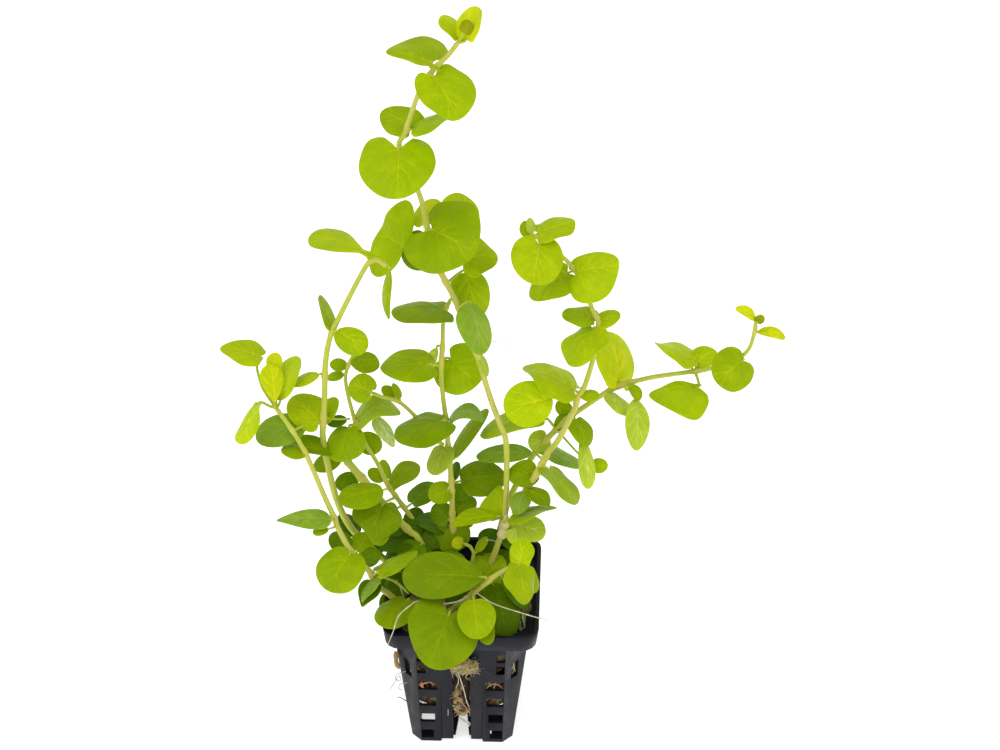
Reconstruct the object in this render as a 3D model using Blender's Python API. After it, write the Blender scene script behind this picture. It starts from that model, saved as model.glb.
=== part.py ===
"""Creeping jenny in a square net pot: a black plastic pot, a rock wool plug, stems and leaves.

Metres, +Z up. The origin is at the middle of the pot's floor, which stands on the ground.
The shoots are laid out as they are seen from the front and above: across and up in the picture
plane through the middle of the rim, and near, the distance from that plane towards the eye,
all in millimetres.
"""
import math

import bpy
from mathutils import Matrix, Vector

MM = 0.001
GAP = 0.3

# The pot, in millimetres
POT_HEIGHT = 53.0
RIM_WIDTH = 50.0
RIM_FOOT_WIDTH = 48.6
RIM_CORNER = 5.0
BAND_HEIGHT = 6.0
BODY_TOP_WIDTH = 44.0
BODY_FOOT_WIDTH = 33.0
CHAMFER_TOP = 7.4
CHAMFER_FOOT = 3.2
WALL = 1.2
FLOOR = 1.2
SLOT_WIDTH = 5.8
SLOT_HEIGHT = 39.5
CHANNEL_WIDTH = 13.0
CHANNEL_DEPTH = 1.2
CHANNEL_TOP = 30.0
CHANNEL_STEP = 0.4
FLOOR_SLOT_INNER = 3.4
FLOOR_HOLE = ((-13.8, -8.6), (-9.6, -3.2))
WINDOW_PITCH = 7.9
WINDOW_HEIGHT = 4.0
LOWEST_WINDOW = 3.6
WINDOW_FOOT_WIDTH = 4.0
WINDOW_WIDENING = 0.7
WINDOW_INSET = 0.2
WINDOW_ROWS = 6
UPPER_ROWS = 2
UPPER_WINDOW_WIDTH = 2.7
TOP_WINDOW_DROP = 2.3
TOP_WINDOW_MARGIN = 4.6
CORNER_WINDOW = (3.0, 7.2)
CORNER_WINDOW_FOOT = 29.3

# The rock wool plug, in millimetres
PLUG_FOOT = 15.0
PLUG_TOP = 44.0
PLUG_CLEARANCE = 0.7
TONGUE_WIDTH = 4.8
TONGUE_FOOT = 13.0
TONGUE_TOP = 39.0
TONGUE_DEPTHS = (-4.0, 0.6)
TUFT_ACROSS = (-4.2, 5.4)
TUFT_FOOT = 33.0
TUFT_TOP = 38.8
TUFT_DEPTHS = (0.3, 2.4)

# The eye that the layout is read from: a distance, two angles and where its axis passes
EYE_DISTANCE = 1100.0
EYE_ELEVATION = math.radians(37.1)
EYE_AZIMUTH = math.radians(1.67)
EYE_ACROSS = 12.0
EYE_UP = 68.3

RIM_MIDDLE = Vector((0.0, 0.0, POT_HEIGHT))
ACROSS = Vector((math.cos(EYE_AZIMUTH), math.sin(EYE_AZIMUTH), 0.0))
NEAR = Vector((
    math.sin(EYE_AZIMUTH) * math.cos(EYE_ELEVATION),
    -math.cos(EYE_AZIMUTH) * math.cos(EYE_ELEVATION),
    math.sin(EYE_ELEVATION),
))
UP = NEAR.cross(ACROSS)
EYE = RIM_MIDDLE + EYE_ACROSS * ACROSS + EYE_UP * UP + EYE_DISTANCE * NEAR

# Leaves
LEAF_THICKNESS = 0.7
PETIOLE_WIDTH = 1.3
MID_RING = 0.6
OWN_LEAF_SEGMENTS = 8
SMALL_LEAF_SEGMENTS = 6
SMALL_LEAF_REACH = math.radians(86)
LEAVES_ON_THEIR_OWN = 46
SMALLEST_LEAF = 31.0

# Stems: how often a ring of points stands along them, and how many sides they have
RING_SPACING = 9.0
STEM_SIDES = 5


def seen(across, up, near):
    """World point, in millimetres, that the eye sees at (across, up), near mm before the rim's plane."""
    flat = RIM_MIDDLE + across * ACROSS + up * UP
    return flat + (EYE - flat) * (near / EYE_DISTANCE)


def leaf(base, tip, width, out=0.0, dip=0.0, full=None, roll=None, arch=0.06, cup=-0.05):
    """One leaf as it is seen: where its blade starts and ends, and how wide it looks.

    out is how much nearer its blade starts than its stem, dip how much nearer its tip is than its
    base, full its width over its length, roll its turn about its midrib in degrees, arch the rise
    of its midrib over its length, cup the rise of its edges over its width.
    """
    return dict(base=base, tip=tip, width=width, out=out, dip=dip, full=full, roll=roll,
                arch=arch, cup=cup)


# Each shoot: its foot on the plug or None, its points (across, up, near), its radii and its leaves
SHOOTS = {
    "tall_stem": dict(
        foot=(6.0, 5.6),
        points=((8.4, 5.5, -4), (12, 15.5, 2), (13, 20, 4), (14, 30, 10), (14, 46, 18.5), (12, 52.5, 22),
                (9, 60.5, 26.5), (4.3, 75.5, 35), (1, 83.5, 39), (-2.2, 92, 44), (-7.5, 102.5, 49.5),
                (-11.3, 115, 56.5), (-14, 126.5, 63), (-20.5, 141.5, 71), (-18.5, 147, 74),
                (-14.5, 159, 80.5), (-10, 166.5, 85), (-5, 171.5, 87.5), (-1.5, 176, 90)),
        radii=(1.35, 0.75),
        leaves=(
            leaf((-0.5, 177), (3.5, 187.3), 7.6, out=1, dip=-2),
            leaf((-1.8, 177), (-7, 184.5), 4.5, out=-2, dip=-3),
            leaf((0.4, 179), (2.2, 183), 4.2, out=3, dip=1),
            leaf((-10.7, 169.5), (-24.8, 173), 8.5, out=1, dip=-2),
            leaf((-8.5, 164.5), (-2.3, 150.5), 18, out=2, dip=4),
            leaf((-18.8, 147.5), (-26.8, 152), 10, out=-2, dip=-6, full=1.1),
            leaf((-16.3, 147), (-4, 151), 5, out=0, dip=-3),
            leaf((-20.8, 141.2), (-21.2, 125.2), 24.7, out=2.5, dip=7),
            leaf((-9.7, 115.3), (-4, 102.8), 27, out=3, dip=11),
            leaf((-16, 113.5), (-29.3, 108.5), 23, out=-3, dip=-4, roll=25),
            leaf((-12.4, 117), (-9.5, 124.6), 8.5, out=-4, dip=-7),
            leaf((0, 116), (1, 127.2), 9.5, out=-10, dip=-6),
            leaf((-12, 112.5), (-17, 103.3), 9, out=-9, dip=-3, full=0.9),
            leaf((0, 105), (10.5, 110.5), 10, out=-3, dip=-5),
            leaf((0.8, 101.5), (4.5, 87), 12, out=-8.5, dip=1, full=0.85),
            leaf((2.3, 91.5), (5.5, 75.3), 10, out=5, dip=5, full=0.8),
            leaf((5.2, 75.5), (7.6, 68), 2.4, out=-2, dip=0, full=0.6),
            leaf((11, 21.3), (-4.5, 20.3), 6, out=3, dip=3, full=0.62),
            leaf((12.5, 22), (7, 31), 8, out=3, dip=0),
            leaf((16, 20.4), (30, 26), 6, out=5, dip=4),
            leaf((17, 19.5), (26.5, 17), 8, out=0, dip=2),
            leaf((14, 19), (17, 12), 6, out=3, dip=3),
        ),
    ),
    "left_stem": dict(
        foot=(-12.5, 5.0),
        points=((-20, 4, -5), (-27, 10, -1), (-32, 14.5, 2), (-37, 20, 5), (-41.5, 30, 11), (-45, 46, 20),
                (-45.3, 52, 24), (-44.8, 60, 29), (-44.5, 72, 36), (-43, 80.5, 41), (-40.5, 86, 44.5),
                (-36, 95, 50), (-31, 104, 55), (-28, 105.5, 56), (-24.5, 103.5, 57)),
        radii=(1.35, 0.8),
        leaves=(
            leaf((-32.5, 108.5), (-49.3, 113.3), 9, out=0, dip=-3),
            leaf((-23.6, 102.5), (-25.3, 87), 3.5, out=0, dip=1, full=0.5),
            leaf((-42.2, 82), (-46, 93.5), 4, out=0, dip=-2, full=0.7),
            leaf((-41.5, 82), (-32, 76), 10, out=2, dip=4),
            leaf((-46.5, 69), (-55.5, 65), 5, out=-2, dip=1, full=0.8),
            leaf((-48, 53.5), (-55, 62), 9, out=1, dip=-3),
            leaf((-44.4, 52.5), (-42, 61), 4, out=-1, dip=-3, full=0.7),
            leaf((-37.5, 54), (-43.8, 52.8), 3.5, out=-6, dip=0, full=0.8),
        ),
    ),
    "middle_stem": dict(
        foot=(-2.0, 9.0),
        points=((-3.3, 21, 1), (-3.6, 31, 7), (-4.2, 40, 12.5), (-4.8, 46, 16), (-5.5, 54, 21), (-6.5, 62, 26),
                (-7, 70.5, 29.5), (-6.6, 78, 33), (-6.2, 87, 36.5), (-4, 93, 39)),
        radii=(1.1, 0.7),
        leaves=(
            leaf((-6.6, 89.5), (-22.5, 88), 8, out=1, dip=2),
            leaf((-11.2, 71.8), (-26, 70), 11, out=3.5, dip=2),
            leaf((-4, 73.3), (5, 65.2), 17, out=-6, dip=2, roll=0),
            leaf((-8.6, 77), (-11.7, 67.7), 3.5, out=-5.5, dip=0, full=0.6),
            leaf((-6.9, 53.5), (-21.2, 46.7), 10.5, out=6, dip=5),
            leaf((-4, 54), (6.5, 54), 5, out=0, dip=1, arch=0.3),
            leaf((-5.8, 45), (-9, 36), 8, out=2, dip=3),
            leaf((-2.8, 41.5), (7.5, 57), 4.5, out=0, dip=-5, full=0.45),
            leaf((-0.7, 34), (13.5, 36), 12, out=-6, dip=-1, full=0.95),
            leaf((-5, 31), (-10.8, 28.5), 7.5, out=1, dip=1),
            leaf((-4.6, 21.5), (-9.5, 26), 8, out=0, dip=-3),
            leaf((-2.4, 24), (3.5, 28.5), 7, out=-2, dip=-3),
            leaf((-5, 19), (-15, 22), 6, out=-4, dip=-2),
            leaf((-4, 18.8), (-2, 11.2), 12, out=3, dip=3),
        ),
    ),
    "low_left_stem": dict(
        foot=(-14.0, -3.0),
        points=((-21, -5, 4), (-24, -2.5, 6.5), (-28, 0.5, 9), (-30, 4.5, 11), (-35, 9.5, 13), (-40, 18, 17),
                (-42, 23, 19.5), (-45, 29.5, 23), (-50, 41, 28), (-54, 48.5, 31), (-57, 53, 33),
                (-60.5, 57.7, 35)),
        radii=(1.2, 0.75),
        leaves=(
            leaf((-66.4, 73), (-78.3, 78), 7.5, out=0, dip=-2),
            leaf((-66.2, 59), (-70.5, 46.3), 7, out=2, dip=5),
            leaf((-61.4, 60), (-64, 71), 7, out=3, dip=-1, full=0.8),
            leaf((-59.2, 60), (-54.5, 74.3), 8.5, out=0, dip=-5, full=0.8),
            leaf((-60.8, 69.5), (-60.8, 75.6), 5, out=0, dip=-1, full=0.9),
            leaf((-55.4, 53), (-66.5, 48), 10, out=-6, dip=2),
            leaf((-51, 42.8), (-58.5, 44.3), 5, out=0, dip=-1),
            leaf((-42, 19.8), (-60, 21), 7.5, out=2, dip=2, full=0.65),
            leaf((-43.5, 18.5), (-48.4, 17), 3, out=3, dip=1, full=0.7),
            leaf((-35.6, 9.7), (-42, -2), 15.5, out=3, dip=4),
            leaf((-34, 11.5), (-30.5, 17), 8, out=-5, dip=-3),
            leaf((-29, 1), (-33.3, -6.3), 9, out=2, dip=3),
            leaf((-27, 5), (-15, 10.8), 5, out=3, dip=-2),
            leaf((-18, -4), (-26, -12), 10, out=6, dip=8),
        ),
    ),
    "slender_stem": dict(
        foot=(-7.0, 13.0),
        points=((-12, 15, -7), (-14, 18.5, -5), (-18, 24, -2), (-22, 29.5, 2), (-24.5, 33, 4), (-27.5, 39.5, 8),
                (-31.5, 46, 12), (-34, 51, 15), (-36.5, 59, 20), (-38, 67, 25), (-37, 71.5, 27.5),
                (-35.5, 74.5, 29)),
        radii=(0.95, 0.6),
        leaves=(
            leaf((-36, 75), (-38.6, 78.3), 2.5, out=0, dip=0, full=0.8),
            leaf((-35, 74), (-27.5, 70.5), 6.5, out=1, dip=2),
            leaf((-37.6, 71.5), (-42.9, 71.8), 4, out=-1, dip=0, full=0.9),
            leaf((-38.5, 68.6), (-43.7, 67), 3, out=-1, dip=0, full=0.8),
            leaf((-33.6, 53.8), (-20.5, 56.3), 7, out=2, dip=-1, arch=0.28),
            leaf((-32, 52), (-22.2, 45), 6.5, out=-3, dip=2, full=0.6),
            leaf((-35, 51.5), (-38.5, 40), 11, out=3, dip=5),
            leaf((-33.5, 47.5), (-26.5, 44.5), 7.5, out=-5, dip=1),
            leaf((-25.8, 31.2), (-40, 27.5), 8, out=13, dip=4, full=0.7),
            leaf((-23.5, 31.8), (-15, 38.5), 8.5, out=-1, dip=-3),
            leaf((-24, 28.5), (-29, 14), 15, out=12, dip=5),
            leaf((-25.6, 34), (-30.5, 37.5), 4.5, out=0, dip=-1, full=0.8),
            leaf((-24.8, 34.5), (-25.5, 40.7), 3.8, out=-2, dip=-2, full=0.8),
            leaf((-16.5, 27), (-8.5, 33), 6, out=-1, dip=-2),
        ),
    ),
    "branch_stem": dict(
        foot=None,
        points=((-6.4, 45.6, 16.2), (-9, 48, 17.5), (-14.5, 54, 20), (-20.5, 59.5, 23), (-26, 61.2, 24.5),
                (-29.5, 62.6, 25.5)),
        radii=(0.75, 0.6),
        leaves=(
            leaf((-30.3, 63), (-38, 66), 9.3, out=3, dip=0, full=1.1),
            leaf((-22, 61), (-25.8, 64.5), 4, out=-1, dip=-1, full=0.8),
            leaf((-20.4, 60.5), (-22.5, 65.5), 2.5, out=0, dip=0, full=0.6),
            leaf((-16.5, 52), (-14, 47), 5, out=-2, dip=2, full=0.9),
        ),
    ),
    "leaning_stem": dict(
        foot=(-9.5, 9.0),
        points=((-14, 14.5, 0), (-17, 17.5, 2), (-22, 22.5, 5), (-31, 33, 11), (-34.5, 37, 13), (-38, 41, 15)),
        radii=(1.4, 1.1),
        leaves=(
            leaf((-39.2, 42), (-48, 38), 6, out=-4, dip=1, full=0.75),
            leaf((-37.5, 42), (-36, 49), 6, out=-4, dip=-3),
            leaf((-34, 34), (-41, 33), 7, out=-4, dip=1, full=1),
            leaf((-21.8, 21.4), (-28, 21), 6, out=-2.5, dip=1, full=0.8),
            leaf((-17, 19.5), (-14, 25), 7, out=-9, dip=-3),
            leaf((-13.5, 13.5), (-20, 8), 8, out=2, dip=3),
        ),
    ),
    "right_stem": dict(
        foot=None,
        points=((16.6, 23.6, 6), (20.3, 30.5, 10), (24.5, 37.5, 14), (27.5, 43, 17), (31, 47.5, 20),
                (36, 57, 25), (37, 60.5, 27), (39.5, 65, 30), (42.5, 75, 36), (44, 84.5, 41), (42.3, 88.5, 43),
                (40.7, 92.5, 45), (36.7, 101.7, 50), (30, 108.5, 54), (23, 113.7, 57)),
        radii=(1.15, 0.65),
        leaves=(
            leaf((28, 37.6), (36.5, 26.3), 6.5, out=3, dip=4),
            leaf((23.8, 37.3), (15, 35), 9, out=-3, dip=2),
            leaf((35.8, 63), (20.3, 69.5), 9.5, out=-2, dip=-2),
            leaf((37.6, 62), (44, 61.4), 3.5, out=0, dip=1, full=0.8),
            leaf((28.5, 62), (13.5, 57.5), 13, out=0, dip=3),
            leaf((42, 83.3), (35, 71.3), 10.5, out=2, dip=4),
            leaf((42.5, 86.5), (33, 88.5), 6.5, out=-1, dip=-2),
            leaf((44.8, 85.8), (50.3, 88), 4.5, out=0, dip=-1, full=0.9),
            leaf((38.5, 101.3), (48.5, 100), 16, out=2, dip=4, full=1.3),
            leaf((33.8, 101.2), (22, 95.5), 8, out=-3, dip=1),
            leaf((24.8, 110.3), (22.5, 98), 16.5, out=3, dip=4),
            leaf((24.5, 114.4), (36, 117.5), 8, out=0, dip=-2),
            leaf((22, 114), (21.7, 119), 3, out=0, dip=-1, full=0.7),
            leaf((20.3, 112.8), (19.5, 117.5), 2.5, out=-1, dip=-1, full=0.7),
            leaf((21, 31.3), (28, 26.3), 4.5, out=2, dip=2),
            leaf((20, 30.5), (17, 23.5), 6, out=3, dip=2, full=0.9),
            leaf((22.5, 43), (5, 42), 5.5, out=-8, dip=0, full=0.5),
        ),
    ),
    "far_right_stem": dict(
        foot=(8.0, 12.0),
        points=((11, 14, -8), (15, 28, -2), (22.5, 42, 4), (29.5, 50, 8), (35, 55, 10.5), (40, 58.5, 12.5),
                (49, 64, 15.5), (60, 67.3, 18), (72.7, 69.2, 20), (80, 70.4, 21), (91, 75, 24),
                (94.2, 81.5, 27), (94.7, 85.5, 29)),
        radii=(1.3, 0.65),
        leaves=(
            leaf((50.2, 65.6), (46.3, 83), 12.5, out=-1, dip=-5),
            leaf((47.5, 61.9), (54.5, 55), 5, out=2, dip=3),
            leaf((56, 63.6), (56, 44.6), 8.5, out=3, dip=5),
            leaf((75, 71.8), (63, 79), 6, out=-2, dip=-3),
            leaf((75, 72.5), (82, 76), 5, out=-4, dip=-2),
            leaf((76, 65.6), (61, 61), 9, out=3, dip=2),
            leaf((91, 73), (82, 66), 15, out=3, dip=4),
            leaf((94.6, 86), (88.5, 90), 3.2, out=0, dip=0, full=0.5, arch=0.25),
            leaf((95.2, 82.2), (104.3, 80), 3.4, out=0, dip=0, full=0.4, arch=0.3),
            leaf((95.2, 85.5), (97.2, 87.5), 3, out=1, dip=0, full=0.9),
            leaf((36.2, 53.8), (40, 31.7), 7, out=2, dip=6, full=0.5),
            leaf((34.8, 55.6), (30.5, 59.5), 5, out=-3, dip=-1, full=0.9),
            leaf((26.8, 48), (21.5, 45), 7.5, out=-1, dip=2, full=1),
            leaf((26.5, 54), (6.3, 49), 7, out=2.4, dip=1.6, full=0.75, arch=0.12),
            leaf((41.5, 58), (46.7, 53), 4, out=-2, dip=1, full=0.8),
            leaf((26, 44.5), (37.5, 38.5), 5, out=-3, dip=1),
        ),
    ),
    "front_stem": dict(
        foot=(-8.0, -9.6),
        points=((-3, -7, 10), (0.5, -4.7, 13), (3.7, -2, 15), (10, 3, 16), (14.5, 5.6, 16.5), (17.7, 6.7, 17)),
        radii=(1.15, 0.85),
        leaves=(
            leaf((2.5, -0.6), (-18.7, 3), 16.5, out=2.5, dip=2),
            leaf((3.5, -4.3), (5, -17), 12.8, out=6, dip=8, roll=0, cup=0),
            leaf((-3.6, -9.4), (-10, -26.5), 23, out=10.5, dip=7, roll=0, cup=-0.02),
            leaf((18.2, 7.5), (20, 15), 7.8, out=0, dip=-3),
            leaf((18, 6), (19.5, -5.5), 10, out=2, dip=3),
            leaf((19, 6), (23.5, -2), 6, out=-3, dip=1),
            leaf((9.4, 1), (14.5, -16), 12, out=-8, dip=2, full=0.72),
            leaf((4.2, -7), (8.6, -18.6), 7, out=0, dip=10, roll=0, cup=0),
        ),
    ),
    "curled_shoot": dict(
        foot=(3.0, 1.0),
        points=((3.3, 5, -4), (3.3, 9, -1), (3.5, 10.7, 0), (2.3, 12.8, 1), (0, 13.8, 1.5)),
        radii=(0.8, 0.6),
        leaves=(
            leaf((-0.6, 13.8), (-3.6, 14.2), 4.2, out=0, dip=1, full=0.9),
            leaf((4.2, 11), (7.8, 15.7), 3, out=0, dip=0, full=0.7),
            leaf((1.5, 6), (-8, 9), 8, out=2.5, dip=0, full=0.8),
            leaf((6, 7.5), (16, 9.5), 7, out=-5, dip=0, full=0.7, arch=0.02),
        ),
    ),
}

# Thin roots that hang from the front stem's joint: points (across, up, near)
AERIAL_ROOTS = (
    ((3.4, -2.2, 14.8), (-2, -5, 17.5), (-8, -5.7, 18.5), (-14, -4.7, 19), (-18, -7, 20), (-21, -10, 21.5),
     (-22.5, -14.5, 23), (-24.5, -19.5, 23)),
    ((3.9, -1.8, 14.8), (10, -5.7, 17), (20, -9, 19), (24.5, -10.3, 20), (27, -11, 20.5), (29, -13, 21)),
)
ROOT_RADIUS = 0.35


def clear_scene():
    """Removes what the scene holds at the start."""
    for thing in list(bpy.data.objects):
        bpy.data.objects.remove(thing, do_unlink=True)


def material(name, colour, roughness):
    """A plain Principled material."""
    made = bpy.data.materials.new(name)
    made.use_nodes = True
    shader = made.node_tree.nodes["Principled BSDF"]
    shader.inputs["Base Color"].default_value = (*colour, 1.0)
    shader.inputs["Roughness"].default_value = roughness
    made.diffuse_color = (*colour, 1.0)
    return made


def solid(name, corners, faces, finish, helper=False):
    """A mesh object from corners in millimetres; a helper only cuts or joins and isn't part of the model."""
    mesh = bpy.data.meshes.new(name)
    mesh.from_pydata([tuple(MM * value for value in corner) for corner in corners], [], faces)
    mesh.materials.append(finish)
    thing = bpy.data.objects.new(name, mesh)
    bpy.context.scene.collection.objects.link(thing)
    if helper:
        thing.hide_render = True
        thing.display_type = "WIRE"
    return thing


def boolean(target, operation, other=None, group=None):
    """Adds a Boolean that joins or cuts the target with an object or a collection."""
    modifier = target.modifiers.new(operation.title(), "BOOLEAN")
    modifier.operation = operation
    modifier.solver = "EXACT"
    if group is None:
        modifier.object = other
        return
    modifier.operand_type = "COLLECTION"
    modifier.collection = group


def loft(rings):
    """Corners and faces of a solid that runs through rings of equally many points, with flat ends."""
    count = len(rings[0])
    corners = [point for ring in rings for point in ring]
    faces = []
    for level in range(len(rings) - 1):
        low = level * count
        high = low + count
        for step in range(count):
            after = (step + 1) % count
            faces.append((low + step, low + after, high + after, high + step))
    faces.append(tuple(range(count - 1, -1, -1)))
    last = (len(rings) - 1) * count
    faces.append(tuple(range(last, last + count)))
    return corners, faces


def chamfered_square(width, chamfer, height, sunk=None):
    """The corners, anticlockwise, of a square with cut corners; sunk sinks the middle of each side."""
    half = width / 2
    side = [(-(half - chamfer), -half, height), (half - chamfer, -half, height)]
    if sunk is not None:
        edge = CHANNEL_WIDTH / 2
        step = CHANNEL_STEP
        side[1:1] = [(-edge - step, -half, height), (-edge, -half + sunk, height),
                     (edge, -half + sunk, height), (edge + step, -half, height)]
    return [corner for turned in quarter_copies(side) for corner in turned]


def rounded_square(width, corner, height, steps=4):
    """The outline, anticlockwise, of a square with round corners."""
    inner = width / 2 - corner
    outline = []
    for quarter in range(4):
        turn = math.radians(90 * quarter - 90)
        centre = Matrix.Rotation(math.radians(90 * quarter), 2) @ Vector((inner, -inner))
        for step in range(steps + 1):
            angle = turn + math.radians(90 * step / steps)
            outline.append((centre.x + corner * math.cos(angle), centre.y + corner * math.sin(angle), height))
    return outline


def body_half(height):
    """Half the pot body's outer width at a height."""
    part = height / (POT_HEIGHT - BAND_HEIGHT)
    return (BODY_FOOT_WIDTH + (BODY_TOP_WIDTH - BODY_FOOT_WIDTH) * part) / 2


def chamfer_at(height):
    """The pot body's corner cut at a height."""
    part = height / (POT_HEIGHT - BAND_HEIGHT)
    return CHAMFER_FOOT + (CHAMFER_TOP - CHAMFER_FOOT) * part


def quarter_copies(corners):
    """The same corners turned by 0, 90, 180 and 270 degrees about the pot's axis."""
    for quarter in range(4):
        turn = Matrix.Rotation(math.radians(90 * quarter), 3, "Z")
        yield [tuple(turn @ Vector(corner)) for corner in corners]


def box_corners(x, y, z, tilt=0.0):
    """Eight corners of a block between pairs of limits; tilt moves its top outwards, towards -Y."""
    (x0, x1), (y0, y1), (z0, z1) = x, y, z
    shift = tilt * (z1 - z0)
    low = [(x0, y0, z0), (x1, y0, z0), (x1, y1, z0), (x0, y1, z0)]
    high = [(x0, y0 - shift, z1), (x1, y0 - shift, z1), (x1, y1 - shift, z1), (x0, y1 - shift, z1)]
    return [low, high]


def cutter_group(name, blocks, finish):
    """A collection of cutters, one for each block of two rings and each quarter of the pot."""
    group = bpy.data.collections.new(name)
    group.hide_render = True
    bpy.context.scene.collection.children.link(group)
    for index, rings in enumerate(blocks):
        count = len(rings[0])
        flat = [corner for ring in rings for corner in ring]
        for quarter, turned in enumerate(quarter_copies(flat)):
            corners, faces = loft([turned[:count], turned[count:]])
            cutter = solid(f"{name}_{index}_{quarter}", corners, faces, finish, helper=True)
            bpy.context.scene.collection.objects.unlink(cutter)
            group.objects.link(cutter)
    return group


def window_blocks():
    """The cutters of one side: two columns of windows, and the window in its left corner."""
    blocks = []
    for row in range(WINDOW_ROWS):
        height = LOWEST_WINDOW + row * WINDOW_PITCH
        width = WINDOW_FOOT_WIDTH + WINDOW_WIDENING * row
        top = height + WINDOW_HEIGHT / 2
        if row == WINDOW_ROWS - 1:
            height = height - TOP_WINDOW_DROP
            top = POT_HEIGHT - BAND_HEIGHT - TOP_WINDOW_MARGIN
        outer = body_half(height) - chamfer_at(height) - WINDOW_INSET
        if row >= WINDOW_ROWS - UPPER_ROWS:
            width = UPPER_WINDOW_WIDTH
        bottom = height - WINDOW_HEIGHT / 2
        depth = (-body_half(height) - 2, -body_half(height) + 2.6)
        blocks.append(box_corners((outer - width, outer), depth, (bottom, top)))
        blocks.append(box_corners((-outer, width - outer), depth, (bottom, top)))
    return blocks


def corner_blocks():
    """The cutter of the narrow window near the top of one chamfered corner."""
    width, tall = CORNER_WINDOW
    low, high = CORNER_WINDOW_FOOT, CORNER_WINDOW_FOOT + tall
    out = (body_half(low) - chamfer_at(low) / 2) * math.sqrt(2)
    turn = Matrix.Rotation(math.radians(45), 3, "Z")
    rings = box_corners((-width / 2, width / 2), (-out - 3, -out + 3), (low, high))
    return [[tuple(turn @ Vector(corner)) for corner in ring] for ring in rings]


def make_pot(finish):
    """The net pot: a tapered shell of chamfered square section under a wider rim band.

    Each side has a channel in its middle with a slot that runs on into the floor, and a column of
    windows on each side of it. Each corner has one narrow window, and the floor has four holes.
    """
    shoulder = POT_HEIGHT - BAND_HEIGHT
    inner_shoulder = BODY_TOP_WIDTH - 2 * WALL
    outer_rings = [
        chamfered_square(BODY_FOOT_WIDTH, CHAMFER_FOOT, 0.0, CHANNEL_DEPTH),
        chamfered_square(2 * body_half(CHANNEL_TOP), chamfer_at(CHANNEL_TOP), CHANNEL_TOP, 0.0),
        chamfered_square(BODY_TOP_WIDTH, CHAMFER_TOP, shoulder + 1.0, 0.0),
    ]
    pot = solid("net_pot", *loft(outer_rings), finish)
    band_rings = [
        rounded_square(RIM_FOOT_WIDTH, RIM_CORNER, shoulder),
        rounded_square(RIM_WIDTH, RIM_CORNER, POT_HEIGHT),
    ]
    band = solid("band_form", *loft(band_rings), finish, helper=True)
    boolean(pot, "UNION", band)
    inside_rings = [
        chamfered_square(BODY_FOOT_WIDTH - 2 * WALL + 0.2, CHAMFER_FOOT - 0.4, FLOOR, CHANNEL_DEPTH),
        chamfered_square(2 * (body_half(CHANNEL_TOP) - WALL), chamfer_at(CHANNEL_TOP) - 0.4, CHANNEL_TOP, 0.0),
        chamfered_square(inner_shoulder, CHAMFER_TOP - 0.5, shoulder + WALL + 0.2, 0.0),
    ]
    inside = solid("inside_form", *loft(inside_rings), finish, helper=True)
    boolean(pot, "DIFFERENCE", inside)
    mouth_rings = [
        rounded_square(RIM_FOOT_WIDTH - 2 * WALL, RIM_CORNER - WALL, shoulder + WALL),
        rounded_square(RIM_WIDTH - 2 * WALL, RIM_CORNER - WALL, POT_HEIGHT + 1),
    ]
    mouth = solid("mouth_form", *loft(mouth_rings), finish, helper=True)
    boolean(pot, "DIFFERENCE", mouth)
    boolean(pot, "DIFFERENCE", group=cutter_group("window_cutters", window_blocks(), finish))
    boolean(pot, "DIFFERENCE", group=cutter_group("corner_cutters", [corner_blocks()], finish))
    half = BODY_FOOT_WIDTH / 2
    slot_foot = [
        (-SLOT_WIDTH / 2, -half - 4, -1.0), (SLOT_WIDTH / 2, -half - 4, -1.0),
        (1.2, -FLOOR_SLOT_INNER, -1.0), (-1.2, -FLOOR_SLOT_INNER, -1.0),
    ]
    slot_rings = [slot_foot, [(x, y, FLOOR + 0.4) for x, y, _ in slot_foot]]
    wall_slot = box_corners(
        (-SLOT_WIDTH / 2, SLOT_WIDTH / 2), (-half - 6, -half + 3.0), (-1.0, SLOT_HEIGHT), tilt=0.085
    )
    floor_hole = box_corners(*FLOOR_HOLE, (-1.0, FLOOR + 0.4))
    cutters = cutter_group("slot_cutters", [slot_rings, wall_slot, floor_hole], finish)
    boolean(pot, "DIFFERENCE", group=cutters)
    return pot


def front_block(across, depths, foot, top):
    """A block before or in the front slot: its two depths count outwards from the pot's outer face."""
    left, right = across
    inner, outer = depths
    rings = []
    for height in (foot, top):
        face = -body_half(height)
        rings.append([(left, face - inner, height), (left, face - outer, height),
                      (right, face - outer, height), (right, face - inner, height)])
    return loft(rings)


def make_plug(finish):
    """The rock wool plug: a tapered block that stands clear of the pot's walls, with a sagged foot.

    A tongue of wool hangs in the front slot, and a tuft bulges from the slot's upper end.
    """
    def ring(height, spare):
        return chamfered_square(2 * (body_half(height) - WALL - spare), chamfer_at(height), height)

    middle = (PLUG_FOOT + PLUG_TOP) / 2
    rings = [
        ring(PLUG_FOOT, PLUG_CLEARANCE + 2.0),
        ring(PLUG_FOOT + 2, PLUG_CLEARANCE + 0.3),
        ring(middle, PLUG_CLEARANCE),
        ring(PLUG_TOP - 1.5, PLUG_CLEARANCE + 1.2),
        ring(PLUG_TOP, PLUG_CLEARANCE + 2.7),
    ]
    plug = solid("rockwool_plug", *loft(rings), finish)
    half = TONGUE_WIDTH / 2
    tongue = front_block((-half, half), TONGUE_DEPTHS, TONGUE_FOOT, TONGUE_TOP)
    boolean(plug, "UNION", solid("tongue_form", *tongue, finish, helper=True))
    tuft = front_block(TUFT_ACROSS, TUFT_DEPTHS, TUFT_FOOT, TUFT_TOP)
    boolean(plug, "UNION", solid("tuft_form", *tuft, finish, helper=True))
    return plug


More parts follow.
